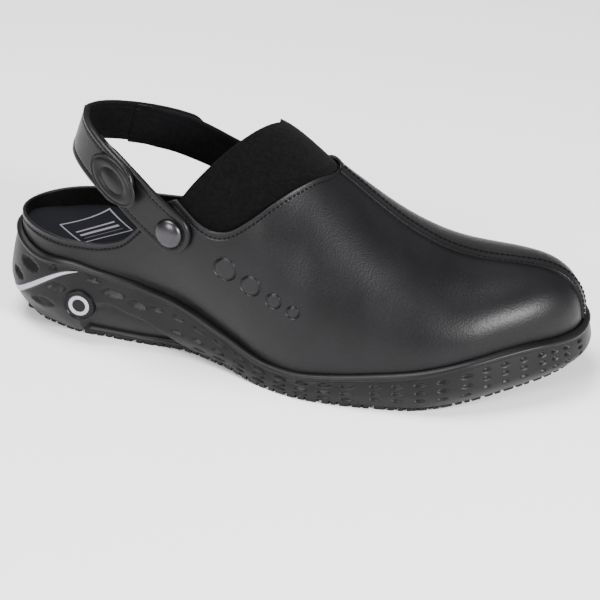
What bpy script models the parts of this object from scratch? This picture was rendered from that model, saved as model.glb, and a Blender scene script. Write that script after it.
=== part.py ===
"""Open-backed kitchen clog with a heel strap, right foot, modelled at its real size.

+X runs to the toe, +Y to the inner (medial) side, +Z up. The origin is on the floor, under the
middle of the sole's bounding box. All sizes are in metres.

The sole is a moulded cup. The upper is one folded leather wall that stands in that cup, open
underneath, at the heel and over the instep, where an elastic panel is sewn in under its edge.
"""

import math

import bmesh
import bpy
import numpy as np
from mathutils import Matrix, Vector

# Sole
SOLE_LENGTH = 0.286
BALL_WIDTH = 0.108
HEEL_ROUND = 0.036  # length over which the plan closes at the heel
TOE_ROUND = 0.070  # and at the toe
HEEL_THICKNESS = 0.036  # floor to the bed that the insole lies on
BALL_THICKNESS = 0.009
TOE_SPRING = 0.0120
HEEL_BEVEL = 0.0075
ARCH_RISE = 0.0014  # tread's lift under the arch
HEEL_BREAK = 0.085  # station where the heel's bevel ends
ARCH_START = 0.26  # stations of the arch
ARCH_END = 0.50
ARCH_SLOPE = 0.08
TOE_BREAK = 0.70  # station where the toe spring starts
CUP_DEPTH = 0.019  # rim above the bed, where it is deepest
SIDE_BULGE = 0.010  # most that the side wall draws in from its widest line
RIM_WIDTH = 0.0024
TOE_BUMPER = 0.0006  # extra rim width at the toe
BEAD_HEIGHT = 0.0030
BEAD_GROOVE = 0.0007
TREAD_DEPTH = 0.0026
LUG_LENGTH = 0.0150
LUG_WIDTH = 0.0185
LUG_GAP = 0.0032
GROOVE_OVERRUN = 1.1  # length of a long groove's cutter as a share of the sole's
LONG_GROOVE_DEPTH = 0.0031
TOE_CURVE = 1.7  # exponents of the tread's rise at the toe and at the heel
HEEL_CURVE = 2.0
BUMPER_START = 0.80  # station where the rim starts to widen
WAIST = 0.45  # share of the side's height at which the sole is widest

# Upper
LEATHER = 0.0016
INSTEP_HEIGHT = 0.110  # floor to the top of the elastic panel
THROAT_STATION = 0.572  # front point of the elastic panel
CORNER_LATERAL = 0.322  # stations where the panel leaves the quarter's top edge
CORNER_MEDIAL = 0.440
CREST_STATION = 0.486  # middle of the panel's free edge
ELASTIC = 0.0014
ELASTIC_TUCK = 0.0055  # width of the elastic sewn in under the leather
SEAM_WIDTH = 0.0062  # raised strip down the middle of the vamp
SEAM_RISE = 0.0007
SEAM_STOP = 0.0012  # strip's end above the rim

# Insole
INSOLE_THICKNESS = 0.0055
INSOLE_CUP = 0.0030  # rise of the insole's edge around the heel
CUP_START = 0.15  # stations between which that rise fades
CUP_END = 0.45
CUP_EDGE = 5  # exponent of the rise towards the edge
CUP_ROUND = 0.10  # station up to which the heel's own curve softens it

# Strap
STRAP_WIDTH = 0.0215
STRAP_THICKNESS = 0.0026
STRAP_BACK = 0.139  # station of the loop's back
STRAP_HEIGHT = 0.0990  # floor to the middle of the strap at the back
STRAP_TILT = 0.30  # forward lean of the strap's width at the back
STRAP_STAND = 0.0009  # upper's outer face to the strap's inner face at the rivet
STRAP_FLAT = 0.85  # way from which the tab lies flat beside the foot
STRAP_OVERLAP = 0.61  # way along the strap's line where the loop ends on the tab
TAB_START = 0.36  # and where the tab starts under the loop
RIVET_LATERAL = (0.319, 0.0700)  # station and height
RIVET_MEDIAL = (0.416, 0.0690)
RIVET_HEAD_RADIUS = 0.0077
RIVET_HEAD_HEIGHT = 0.0032
RIVET_SHANK_RADIUS = 0.0028
RIVET_FLANGE_RADIUS = 0.0048
RIVET_FLANGE = 0.0010
RIVET_UNDERCUT = 0.94  # share of the head's radius at its flat underside
TAB_SHARE = 0.98  # tab's width as a share of the strap's

# Trim of the sole
BADGE_RADIUS = 0.0080
BADGE_THICKNESS = 0.0024
BADGE_STATION = 0.157
BADGE_HEIGHT = 0.0205
BADGE_PROUD = 0.0003
STRIPE_WIDTH = 0.0036
STRIPE_THICKNESS = 0.0013
STRIPE_PROUD = 0.0002
STRIPE_LOW = 0.0135  # floor to the stripe's middle behind the heel
STRIPE_RISE = 0.0240  # from there to its tip

SIDE_SHIFT = 0.0007  # brings the middle of the sole's bounding box onto the X axis
GAP = 0.0003  # between pieces that touch
PANEL_EASE = 0.0004  # more room for the panel under the curved leather
CURVED_GAP = 0.0005  # between curved pieces, whose facets differ
CUTTER_REACH = 4  # how many times deeper a cutter is than its cut

# Facets
UPPER_ROWS = 8
PANEL_COLUMNS = 13  # on each side of the middle
PANEL_ROWS = 7
TAB_STEPS = 9
LOOP_STEPS = 11
STRIP_STEPS = 28
STRIP_SEARCH = 400
GROOVE_STEPS = 24
ROUND_STEPS = 6
DOME_STEPS = 5
RIVET_SIDES = 18
DISC_SIDES = 24
PROBE = 0.01  # small step in station, girth or way, for a direction
SHARP_ANGLE = math.radians(35)

# Shares of a band's half width at which it has points, and of the insole's and the strip's
BAND = (-1.0, -0.90, 0.0, 0.90, 1.0)
INSOLE_BAND = (-1.0, -0.80, 0.0, 0.80, 1.0)
SEAM_BAND = (-1.0, -0.5, 0.0, 0.5, 1.0)

# Outline of the sole at its widest. station: share of SOLE_LENGTH; centre, half_width: shares of BALL_WIDTH
PLAN = (
    # station, centre, half_width
    (0.000, 0.000, 0.285),
    (0.070, 0.000, 0.301),
    (0.125, 0.000, 0.311),
    (0.205, 0.000, 0.319),
    (0.275, -0.006, 0.313),
    (0.345, -0.022, 0.313),
    (0.415, -0.045, 0.335),
    (0.485, -0.066, 0.386),
    (0.550, -0.068, 0.434),
    (0.620, -0.048, 0.463),
    (0.690, -0.020, 0.479),
    (0.760, 0.007, 0.485),
    (0.830, 0.042, 0.465),
    (0.900, 0.072, 0.422),
    (0.950, 0.084, 0.395),
    (1.000, 0.090, 0.370),
)

# Heights along the sole. bed: share of the way from BALL_THICKNESS to HEEL_THICKNESS;
# rim_lateral, rim_medial: shares of CUP_DEPTH above the bed; ground_inset, rim_inset: shares of SIDE_BULGE
LEVELS = (
    # station, bed, rim_lateral, rim_medial, ground_inset, rim_inset
    (0.000, 1.000, 0.160, 0.160, 1.000, 0.280),
    (0.070, 1.000, 0.250, 0.250, 1.250, 0.260),
    (0.125, 0.995, 0.300, 0.340, 1.100, 0.200),
    (0.175, 0.960, 0.240, 0.320, 1.100, 0.150),
    (0.230, 0.890, 0.200, 0.320, 1.000, 0.150),
    (0.285, 0.720, 0.220, 0.360, 0.900, 0.120),
    (0.345, 0.480, 0.230, 0.440, 0.700, 0.100),
    (0.415, 0.200, 0.200, 0.480, 0.300, 0.080),
    (0.470, 0.060, 0.170, 0.450, 0.080, 0.080),
    (0.540, 0.000, 0.190, 0.420, 0.050, 0.080),
    (0.600, 0.000, 0.290, 0.430, 0.080, 0.080),
    (0.655, 0.000, 0.410, 0.480, 0.150, 0.080),
    (0.710, 0.000, 0.540, 0.560, 0.250, 0.080),
    (0.780, 0.000, 0.690, 0.690, 0.420, 0.080),
    (0.840, 0.000, 0.780, 0.780, 0.600, 0.090),
    (0.920, 0.000, 0.760, 0.760, 0.750, 0.110),
    (1.000, 0.000, 0.480, 0.480, 0.750, 0.120),
)

# Side of the sole between those heights. Below the waist: shares of the inset at the ground and of the
# height to the waist. Above it: shares of the inset under the bead and of the height from there.
# Bead: shares of RIM_WIDTH and BEAD_HEIGHT
BELOW_WAIST = (
    # inset, height
    (1.00, 0.00),
    (0.62, 0.18),
    (0.18, 0.60),
    (0.00, 1.00),
)
ABOVE_WAIST = (
    # inset, height
    (0.40, 0.55),
    (1.00, 1.00),
)
BEAD = (
    # inset, height
    (0.00, 0.22),
    (0.00, 0.75),
    (0.30, 1.00),
)

# Sections of the last. ridge: share of INSTEP_HEIGHT above the floor; ridge_side and belt (how far the
# side swells out above the rim): shares of BALL_WIDTH; squareness: exponent of the rounded section
LAST = (
    # station, ridge, ridge_side, belt, squareness
    (0.000, 1.200, 0.000, 0.000, 2.40),
    (0.120, 1.200, 0.000, 0.000, 2.40),
    (0.200, 1.180, 0.000, 0.025, 2.40),
    (0.270, 1.150, 0.000, 0.070, 2.45),
    (0.340, 1.110, 0.000, 0.100, 2.50),
    (0.410, 1.085, 0.005, 0.090, 2.25),
    (0.470, 1.058, 0.010, 0.060, 2.05),
    (0.540, 0.938, 0.012, 0.030, 1.92),
    (0.572, 0.864, 0.010, 0.015, 2.02),
    (0.605, 0.802, 0.010, 0.008, 2.06),
    (0.640, 0.736, 0.010, 0.004, 2.10),
    (0.675, 0.674, 0.012, 0.000, 2.14),
    (0.710, 0.622, 0.016, 0.000, 2.16),
    (0.745, 0.580, 0.022, 0.000, 2.16),
    (0.780, 0.550, 0.030, 0.000, 2.18),
    (0.820, 0.531, 0.042, 0.000, 2.22),
    (0.880, 0.522, 0.062, 0.000, 2.30),
    (1.000, 0.516, 0.090, 0.000, 2.35),
)
VAMP_ROUND = 0.031  # length over which the toe box comes down to the rim
VAMP_ROUNDNESS = 2.45
BELT_HEIGHT = 0.024  # height over which the side swells out to the belt
BELT_START = 0.0015  # above the rim

# Top edge of the quarter behind the elastic panel, as shares of INSTEP_HEIGHT above the floor
COLLAR = (
    # station, lateral, medial
    (0.000, 0.484, 0.484),
    (0.070, 0.472, 0.492),
    (0.130, 0.470, 0.488),
    (0.190, 0.490, 0.482),
    (0.225, 0.530, 0.480),
    (0.255, 0.610, 0.480),
    (0.285, 0.710, 0.484),
    (0.322, 0.775, 0.500),
    (0.355, 0.775, 0.545),
    (0.395, 0.775, 0.635),
    (0.440, 0.775, 0.720),
)

# Seam where the leather lies over the elastic panel: height above the floor in front of the quarter's
# top corner, as a share of the way from the corner's height to the throat's ridge
THROAT = (
    # way from corner to throat, lateral, medial
    (0.00, 0.000, 0.000),
    (0.06, -0.350, -0.050),
    (0.15, -0.850, -0.080),
    (0.27, -1.200, 0.020),
    (0.38, -1.100, 0.180),
    (0.52, -0.450, 0.420),
    (0.66, 0.350, 0.720),
    (0.80, 0.950, 0.950),
    (0.92, 1.150, 1.050),
    (1.00, 1.000, 1.000),
)

# Inlaid stripe around the heel. rise: share of STRIPE_RISE; width: share of STRIPE_WIDTH
STRIPE = (
    # station, rise, width
    (0.000, 0.000, 1.000),
    (0.030, 0.150, 1.000),
    (0.060, 0.420, 0.950),
    (0.090, 0.690, 0.800),
    (0.120, 0.900, 0.500),
    (0.148, 1.000, 0.080),
)

# Middle line of the strap, from the back of the loop to a rivet. along, aside, drop: shares of the
# distances from the back's middle to that rivet along X, Y and Z
STRAP_LINE = (
    # way, along, aside, drop
    (0.00, 0.000, 0.000, 0.00),
    (0.15, 0.050, 0.210, 0.03),
    (0.30, 0.150, 0.410, 0.09),
    (0.45, 0.300, 0.610, 0.19),
    (0.60, 0.480, 0.780, 0.34),
    (0.80, 0.750, 0.930, 0.68),
    (1.00, 1.000, 1.000, 1.00),
)


def read(table, column, station):
    """Smooth curve through one column of a table whose first column is the station."""
    at = np.array([row[0] for row in table])
    value = np.array([row[column] for row in table])
    slope = np.gradient(value, at)
    station = min(max(station, at[0]), at[-1])
    i = min(int(np.searchsorted(at, station, side="right")) - 1, len(at) - 2)
    width = at[i + 1] - at[i]
    t = (station - at[i]) / width
    return float(
        value[i] * (2 * t**3 - 3 * t**2 + 1)
        + slope[i] * width * (t**3 - 2 * t**2 + t)
        + value[i + 1] * (3 * t**2 - 2 * t**3)
        + slope[i + 1] * width * (t**3 - t**2)
    )


def ease(t):
    """0 before t = 0, 1 after t = 1, smooth between."""
    t = min(max(t, 0.0), 1.0)
    return t * t * (3 - 2 * t)


def closing(distance, reach, power):
    """Share of the full width at a distance from a rounded end."""
    t = 1 - min(max(distance / reach, 0.0), 1.0)
    return (1 - t**power) ** (1 / power)


def outline(station, side, inset=0.0):
    """Plan point of the sole's outline moved in by inset; side is -1 lateral, 1 medial."""
    shrink = 1 - 2 * inset / SOLE_LENGTH
    x = station * SOLE_LENGTH
    ends = closing(x, HEEL_ROUND, 2.0) * closing(SOLE_LENGTH - x, TOE_ROUND, 2.3)
    half = read(PLAN, 2, station) * BALL_WIDTH
    y = read(PLAN, 1, station) * BALL_WIDTH + side * (half - inset) * ends
    return (x - SOLE_LENGTH / 2) * shrink, y


def station_of(x):
    """Station share of a place along the sole."""
    return x / SOLE_LENGTH + 0.5


def ground(x):
    """Height of the tread's face: bevelled at the heel, lifted under the arch and sprung at the toe."""
    s = station_of(x)
    toe = max(s - TOE_BREAK, 0.0) / (1 - TOE_BREAK)
    heel = max(HEEL_BREAK - s, 0.0) / HEEL_BREAK
    arch = ease((s - ARCH_START) / ARCH_SLOPE) * ease((ARCH_END - s) / ARCH_SLOPE)
    return TOE_SPRING * toe**TOE_CURVE + HEEL_BEVEL * heel**HEEL_CURVE + ARCH_RISE * arch


def bed(x):
    """Height of the surface that the insole lies on."""
    share = read(LEVELS, 1, station_of(x))
    return BALL_THICKNESS + (HEEL_THICKNESS - BALL_THICKNESS) * share + ground(x)


def rim(station, side):
    """Height of the sole's rim."""
    column = 2 if side < 0 else 3
    x = (station - 0.5) * SOLE_LENGTH
    return bed(x) + CUP_DEPTH * read(LEVELS, column, station)


def rim_inset(station):
    """How far the rim lies in from the sole's widest line."""
    return SIDE_BULGE * read(LEVELS, 5, station)


def rim_width(station):
    """Width of the rim's top."""
    return RIM_WIDTH + TOE_BUMPER * ease((station - BUMPER_START) / (1 - BUMPER_START))


def stations(*stops):
    """Station shares: each stop is (share, steps to the next), eased towards the two ends."""
    found = []
    for (start, steps), (end, _) in zip(stops, stops[1:]):
        for k in range(steps):
            t = k / steps
            if start == 0:
                t = 1 - math.cos(t * math.pi / 2)
            if end == 1:
                t = math.sin(t * math.pi / 2)
            found.append(start + (end - start) * t)
    return found + [stops[-1][0]]


def foot(s, side, inset):
    """Where the last's section starts: plan point beside the rim and height of the rim."""
    x, y = outline(s, side, rim_inset(s) + rim_width(s) + CURVED_GAP + inset)
    return Vector((x, y, rim(s, side)))


def section(s, side, girth, inset=0.0):
    """Point of the last. girth runs from 0 at the rim to 1 at the ridge; inset goes into the foot."""
    start = foot(s, side, inset)
    ridge = read(LAST, 1, s) * INSTEP_HEIGHT - inset
    length = (1 - s) * SOLE_LENGTH
    rise = (ridge - start.z) * closing(length, VAMP_ROUND, VAMP_ROUNDNESS) if s > 0.5 else ridge - start.z
    ends = closing(s * SOLE_LENGTH, HEEL_ROUND, 2.0)
    power = 2 / read(LAST, 4, s)
    turn = girth * math.pi / 2
    up = rise * math.sin(turn) ** power
    middle = read(LAST, 2, s) * BALL_WIDTH
    swell = 1 - math.exp(-max(up - BELT_START, 0.0) / BELT_HEIGHT)
    belt = side * read(LAST, 3, s) * BALL_WIDTH * ends * swell
    across = max(math.cos(turn), 0.0) ** power
    return Vector((start.x, middle + (start.y - middle + belt) * across, start.z + up))


def girth_at(s, side, z):
    """Girth share at which the section reaches a height."""
    start = foot(s, side, 0.0)
    rise = read(LAST, 1, s) * INSTEP_HEIGHT - start.z
    share = min(max((z - start.z) / rise, 0.0), 1.0)
    return math.asin(share ** (read(LAST, 4, s) / 2)) * 2 / math.pi


def corner_station(side):
    """Station where the panel leaves the quarter's top edge."""
    return CORNER_LATERAL if side < 0 else CORNER_MEDIAL


def collar_height(s, side):
    """Height of the quarter's top edge above the floor."""
    return read(COLLAR, 1 if side < 0 else 2, s) * INSTEP_HEIGHT


def top_girth(s, side):
    """Girth share of the leather's top edge: collar, then the seam on the panel, then the ridge."""
    corner = corner_station(side)
    if s >= THROAT_STATION:
        return 1.0
    if s <= corner:
        return girth_at(s, side, collar_height(s, side))
    low = collar_height(corner, side)
    high = read(LAST, 1, THROAT_STATION) * INSTEP_HEIGHT
    way = (s - corner) / (THROAT_STATION - corner)
    return girth_at(s, side, low + (high - low) * read(THROAT, 1 if side < 0 else 2, way))


class Mesh:
    """Vertices and faces of one solid. Points that coincide become one vertex, and a face that is
    made twice is inside the solid, so both copies go."""

    def __init__(self):
        self.points = []
        self.index = {}
        self.faces = []

    def vertex(self, point):
        key = tuple(round(value * 1e7) for value in point)
        if key not in self.index:
            self.index[key] = len(self.points)
            self.points.append(tuple(point))
        return self.index[key]

    def face(self, corners):
        found = []
        for corner in corners:
            number = self.vertex(corner)
            if number not in found:
                found.append(number)
        twins = [face for face in self.faces if len(face) == len(found) and set(face) == set(found)]
        if twins:
            self.faces.remove(twins[0])
        elif len(found) > 2:
            self.faces.append(found)

    def sheet(self, grid, turned=False, split=True):
        """Faces between neighbouring columns of points, with all diagonals the same way."""
        for left, right in zip(grid, grid[1:]):
            for k in range(len(left) - 1):
                a, b, c, d = left[k], right[k], right[k + 1], left[k + 1]
                for corners in ([[a, b, c], [a, c, d]] if split else [[a, b, c, d]]):
                    self.face(corners[::-1] if turned else corners)


def add_object(name, mesh, material):
    """Solid from a mesh, in the part's collection, with smooth shading over its soft edges."""
    data = bpy.data.meshes.new(name)
    data.from_pydata(mesh.points, [], mesh.faces)
    made = bmesh.new()
    made.from_mesh(data)
    bmesh.ops.recalc_face_normals(made, faces=made.faces)
    made.to_mesh(data)
    made.free()
    data.materials.append(material)
    data.shade_smooth()
    data.set_sharp_from_angle(angle=SHARP_ANGLE)
    thing = bpy.data.objects.new(name, data)
    thing.location.y = SIDE_SHIFT
    bpy.data.collections["chef_clog"].objects.link(thing)
    return thing


def wall(outer, inner):
    """Closed solid between two skins with the same numbers of columns and rows."""
    mesh = Mesh()
    mesh.sheet(outer)
    mesh.sheet(inner, turned=True)
    for edge_out, edge_in in (
        ([column[0] for column in outer], [column[0] for column in inner]),
        ([column[-1] for column in outer], [column[-1] for column in inner]),
        (outer[0], inner[0]),
        (outer[-1], inner[-1]),
    ):
        for k in range(len(edge_out) - 1):
            mesh.face([edge_out[k], edge_out[k + 1], edge_in[k + 1], edge_in[k]])
    return mesh


def side_stations():
    """Stations shared by the sole and the upper, so that their facets run side by side."""
    return stations(
        (0.0, 7),
        (0.125, 6),
        (CORNER_LATERAL, 3),
        (CORNER_MEDIAL, 4),
        (CREST_STATION, 3),
        (0.540, 3),
        (0.566, 2),
        (THROAT_STATION, 6),
        (0.78, 11),
        (1.0, 0),
    )


def around(stops, column):
    """Columns from the toe along the lateral side to the heel, and back along the medial side."""
    lateral = [column(s, -1) for s in reversed(stops)]
    return lateral + [column(s, 1) for s in stops[1:]]


def sole_steps(s, side):
    """Inset and height from the edge of the tread up the side and over the rim."""
    low = SIDE_BULGE * read(LEVELS, 4, s)
    high = rim_inset(s)
    top = rim(s, side)
    base = ground(outline(s, side, low)[0])
    waist = base + WAIST * (top - base)
    under = top - BEAD_HEIGHT
    steps = [(low * inset, base + height * (waist - base)) for inset, height in BELOW_WAIST]
    for inset, height in ABOVE_WAIST:
        steps.append(((high + BEAD_GROOVE) * inset, waist + height * (under - waist)))
    for inset, height in BEAD:
        steps.append((high + inset * RIM_WIDTH, under + height * BEAD_HEIGHT))
    return steps + [(high + rim_width(s), top)]


def sole_profile(s, side):
    """From the edge of the tread up the side, over the rim and down into the cup."""
    steps = sole_steps(s, side)
    points = [Vector((*outline(s, side, inset), z)) for inset, z in steps]
    x, y = outline(s, side, steps[-1][0])
    return points + [Vector((x, y, bed(x)))]


def side_point(s, side, z, out):
    """Point beside the sole's side at a height, moved out by a distance."""
    steps = sole_steps(s, side)
    heights = [step[1] for step in steps]
    inset = float(np.interp(z, heights, [step[0] for step in steps]))
    return Vector((*outline(s, side, inset - out), z))


def make_stripe(proud, deep, grown):
    """Band around the heel from the lateral tip to the medial tip; grown widens it on all sides."""
    stops = [s for s in side_stations() if s < STRIPE[-1][0]] + [STRIPE[-1][0] + grown / SOLE_LENGTH]

    def skin(out):
        def column(s, side):
            middle = STRIPE_LOW + STRIPE_RISE * read(STRIPE, 1, s)
            half = STRIPE_WIDTH * read(STRIPE, 2, s) / 2 + grown
            return [side_point(s, side, middle + share * half, out) for share in (-1.0, 0.0, 1.0)]

        return around(stops, column)

    return wall(skin(proud), skin(-deep))


def make_badge(radius, proud, deep):
    """Disc let into the lateral side of the heel."""
    x, y = outline(BADGE_STATION, -1)
    ahead = Vector(outline(BADGE_STATION + 2 * PROBE, -1)) - Vector(outline(BADGE_STATION - 2 * PROBE, -1))
    along = Vector((ahead.x, ahead.y, 0.0)).normalized()
    out = along.cross(Vector((0.0, 0.0, 1.0)))
    middle = Vector((x, y, BADGE_HEIGHT))
    mesh = Mesh()
    columns = []
    for k in range(DISC_SIDES + 1):
        turn = 2 * math.pi * (k % DISC_SIDES) / DISC_SIDES
        spoke = along * math.cos(turn) + Vector((0.0, 0.0, math.sin(turn)))
        column = [middle + out * proud, middle + out * proud + spoke * radius]
        columns.append(column + [middle - out * deep + spoke * radius, middle - out * deep])
    mesh.sheet(columns)
    return mesh


def block(points_low, points_high):
    """Closed bar between two tracks of matching point pairs."""
    mesh = Mesh()
    rings = []
    for (a, b), (c, d) in zip(points_low, points_high):
        rings.append([a, b, d, c, a])
    mesh.sheet(rings, split=False)
    mesh.face(rings[0][:-1])
    mesh.face(rings[-1][:-1])
    return mesh


def join(meshes):
    """One mesh of several."""
    whole = Mesh()
    for mesh in meshes:
        for face in mesh.faces:
            whole.face([mesh.points[number] for number in face])
    return whole


def make_cross_grooves():
    """Cutters across the tread."""
    pitch = LUG_LENGTH + LUG_GAP
    count = int(SOLE_LENGTH / pitch)
    bars = []
    for k in range(count):
        middle = (k - (count - 1) / 2) * pitch
        low = []
        high = []
        for x in (middle - LUG_GAP / 2, middle + LUG_GAP / 2):
            top = ground(x) + TREAD_DEPTH
            for z, found in ((top - CUTTER_REACH * TREAD_DEPTH, low), (top, high)):
                found.append((Vector((x, -BALL_WIDTH, z)), Vector((x, BALL_WIDTH, z))))
        bars.append(block(low, high))
    return join(bars)


def make_long_grooves():
    """Cutters along the tread."""
    pitch = LUG_WIDTH + LUG_GAP
    count = int(BALL_WIDTH / pitch)
    bars = []
    for k in range(count):
        y = (k - (count - 1) / 2) * pitch
        low = []
        high = []
        for step in range(GROOVE_STEPS + 1):
            x = (step / GROOVE_STEPS - 0.5) * SOLE_LENGTH * GROOVE_OVERRUN
            top = ground(x) + LONG_GROOVE_DEPTH
            for z, found in ((top - CUTTER_REACH * TREAD_DEPTH, low), (top, high)):
                found.append((Vector((x, y - LUG_GAP / 2, z)), Vector((x, y + LUG_GAP / 2, z))))
        bars.append(block(low, high))
    return join(bars)


def make_sole():
    """Cup of the sole before its grooves and seats are cut."""
    stops = side_stations()
    columns = around(stops, sole_profile)
    mesh = Mesh()
    mesh.sheet(columns, split=False)
    middle = len(stops) - 1
    for k in range(middle):
        for level in (0, -1):
            mesh.face(
                [
                    columns[middle - k][level],
                    columns[middle - k - 1][level],
                    columns[middle + k + 1][level],
                    columns[middle + k][level],
                ]
            )
    return mesh


def upper_column(s, side, inset):
    """Points of one skin of the upper, from the bed of the cup to the top edge."""
    start = foot(s, side, inset)
    points = [Vector((start.x, start.y, bed(start.x) + GAP))]
    top = top_girth(s, side)
    for k in range(UPPER_ROWS + 1):
        points.append(section(s, side, top * k / UPPER_ROWS, inset))
    return points


def make_upper():
    """Leather wall between two sections of the last, open at the top edge and underneath."""
    stops = side_stations()
    outer = around(stops, lambda s, side: upper_column(s, side, 0.0))
    inner = around(stops, lambda s, side: upper_column(s, side, LEATHER))
    return wall(outer, inner)


def make_insole():
    """Footbed in the cup, closed to the upper's inner face by a curved gap."""
    inset = LEATHER + CURVED_GAP

    def column(s, lift):
        lateral = foot(s, -1, inset)
        medial = foot(s, 1, inset)
        heel = ease((CUP_END - s) / (CUP_END - CUP_START))
        points = []
        for share in INSOLE_BAND:
            flat = (1 - abs(share) ** CUP_EDGE) * ease(s / CUP_ROUND)
            cup = INSOLE_CUP * heel * (1 - flat) * (lift > GAP)
            y = (lateral.y + medial.y) / 2 + share * (medial.y - lateral.y) / 2
            points.append(Vector((lateral.x, y, bed(lateral.x) + lift + cup)))
        return points

    stops = side_stations()
    return wall([column(s, GAP + INSOLE_THICKNESS) for s in stops], [column(s, GAP) for s in stops])


def panel_point(v, a, inset):
    """Point of the elastic panel. v: -1 lateral corner, 0 middle, 1 medial corner; a: 0 free edge, 1 tucked
    edge under the leather."""
    side = -1 if v < 0 else 1
    way = 1 - abs(v)
    start = corner_station(side)
    corner = top_girth(start, side)
    back_s = start + (CREST_STATION - start) * way
    back_girth = corner + (1 - corner) * way
    seam_s = start + (THROAT_STATION - start) * way
    tuck = ELASTIC_TUCK / SOLE_LENGTH * way
    drop = ELASTIC_TUCK / INSTEP_HEIGHT * math.sqrt(max(1 - way**2, 0.0))
    front_s = seam_s + tuck
    front_girth = top_girth(seam_s, side) - drop
    s = back_s + (front_s - back_s) * a
    girth = back_girth + (front_girth - back_girth) * a
    return section(s, side, min(girth, 1.0), inset)


def make_panel():
    """Elastic sheet under the leather's inner face, between the two corners of the quarters."""
    inset = LEATHER + CURVED_GAP + PANEL_EASE

    def skin(deep):
        def column(v):
            return [panel_point(v, a / PANEL_ROWS, inset + deep) for a in range(PANEL_ROWS + 1)]

        return [column(v / PANEL_COLUMNS) for v in range(-PANEL_COLUMNS, PANEL_COLUMNS + 1)]

    return wall(skin(0.0), skin(ELASTIC))


def rivet_seat(side):
    """Point of the upper's outer face under a rivet, and the direction out of the face."""
    s, z = RIVET_LATERAL if side < 0 else RIVET_MEDIAL
    girth = girth_at(s, side, z)
    ahead = section(s + PROBE, side, girth) - section(s - PROBE, side, girth)
    up = section(s, side, girth + PROBE) - section(s, side, girth - PROBE)
    out = ahead.cross(up).normalized()
    return section(s, side, girth), out if out.y * side > 0 else -out


def strap_frame(way, side):
    """Point on the strap's middle line with the directions along it, across it and out of the foot."""
    seat, face = rivet_seat(side)
    end = seat + face * STRAP_STAND
    start = Vector(((STRAP_BACK - 0.5) * SOLE_LENGTH, 0.0, STRAP_HEIGHT))

    def point(w):
        return Vector(
            (
                start.x + (end.x - start.x) * read(STRAP_LINE, 1, w),
                start.y + (end.y - start.y) * read(STRAP_LINE, 2, w),
                start.z + (end.z - start.z) * read(STRAP_LINE, 3, w),
            )
        )

    inside = min(max(way, 0.0), 1.0)
    along = (point(min(inside + PROBE, 1.0)) - point(max(inside - PROBE, 0.0))).normalized()
    if inside < PROBE:
        along = Vector((0.0, side, 0.0))
    lean = Vector((STRAP_TILT, 0.0, 1.0))
    out = lean.cross(along).normalized() * side
    out = out.lerp(face, ease((inside - STRAP_OVERLAP) / (STRAP_FLAT - STRAP_OVERLAP))).normalized()
    along = (along - out * along.dot(out)).normalized()
    across = along.cross(out) * side
    return point(inside), along, across, out


def strap_point(way, side, across_share, out, beyond=0.0, half=STRAP_WIDTH / 2):
    middle, along, across, normal = strap_frame(way, side)
    return middle + along * beyond + across * (across_share * half) + normal * out


def round_end(radius):
    """Distance beyond the middle of a round end and share of the width left there."""
    found = []
    for k in range(1, ROUND_STEPS + 1):
        turn = math.pi / 2 * k / ROUND_STEPS
        found.append((radius * math.sin(turn), math.cos(turn)))
    return found


def make_tab(side):
    """Short strap from under the loop's end to the rivet, with a round end about the rivet."""
    half = STRAP_WIDTH * TAB_SHARE / 2
    ways = [TAB_START + (1 - TAB_START) * k / TAB_STEPS for k in range(TAB_STEPS + 1)]

    def skin(out):
        columns = [[strap_point(w, side, share, out, 0.0, half) for share in BAND] for w in ways]
        for beyond, left in round_end(half):
            columns.append([strap_point(1.0, side, share * left, out, beyond, half) for share in BAND])
        return columns

    return wall(skin(0.0), skin(STRAP_THICKNESS))


def make_loop():
    """Strap behind the heel, lying on the outside of both tabs."""
    half = STRAP_WIDTH / 2
    low = STRAP_THICKNESS + GAP

    def side_columns(side, out):
        columns = []
        for k in range(LOOP_STEPS + 1):
            way = STRAP_OVERLAP * k / LOOP_STEPS
            columns.append([strap_point(way, side, share, out) for share in BAND])
        for beyond, left in round_end(half):
            columns.append([strap_point(STRAP_OVERLAP, side, share * left, out, beyond) for share in BAND])
        return columns

    def skin(out):
        return side_columns(-1, out)[::-1] + side_columns(1, out)[1:]

    return wall(skin(low), skin(low + STRAP_THICKNESS))


def lathe(profile, side):
    """Solid of revolution about a rivet's axis. profile: distance outwards and radius."""
    middle, along, across, out = strap_frame(1.0, side)
    mesh = Mesh()
    columns = []
    for k in range(RIVET_SIDES + 1):
        turn = 2 * math.pi * (k % RIVET_SIDES) / RIVET_SIDES
        spoke = along * math.cos(turn) + across * math.sin(turn)
        columns.append([middle + out * height + spoke * radius for height, radius in profile])
    mesh.sheet(columns)
    return mesh


def make_rivet(side):
    seat = STRAP_THICKNESS + 2 * GAP
    inside = -(STRAP_STAND + LEATHER + CURVED_GAP)
    dome = []
    for k in range(DOME_STEPS + 1):
        turn = math.pi / 2 * k / DOME_STEPS
        dome.append((seat + RIVET_HEAD_HEIGHT * math.cos(turn), RIVET_HEAD_RADIUS * math.sin(turn)))
    return lathe(
        dome
        + [
            (seat, RIVET_HEAD_RADIUS * RIVET_UNDERCUT),
            (seat, RIVET_SHANK_RADIUS),
            (inside, RIVET_SHANK_RADIUS),
            (inside, RIVET_FLANGE_RADIUS),
            (inside - RIVET_FLANGE, RIVET_FLANGE_RADIUS),
            (inside - RIVET_FLANGE, 0.0),
        ],
        side,
    )


def make_shaft(side):
    """Cutter for the rivet's hole."""
    radius = RIVET_SHANK_RADIUS + GAP
    reach = CUTTER_REACH * STRAP_THICKNESS
    return lathe([(reach, 0.0), (reach, radius), (-reach, radius), (-reach, 0.0)], side)


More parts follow.
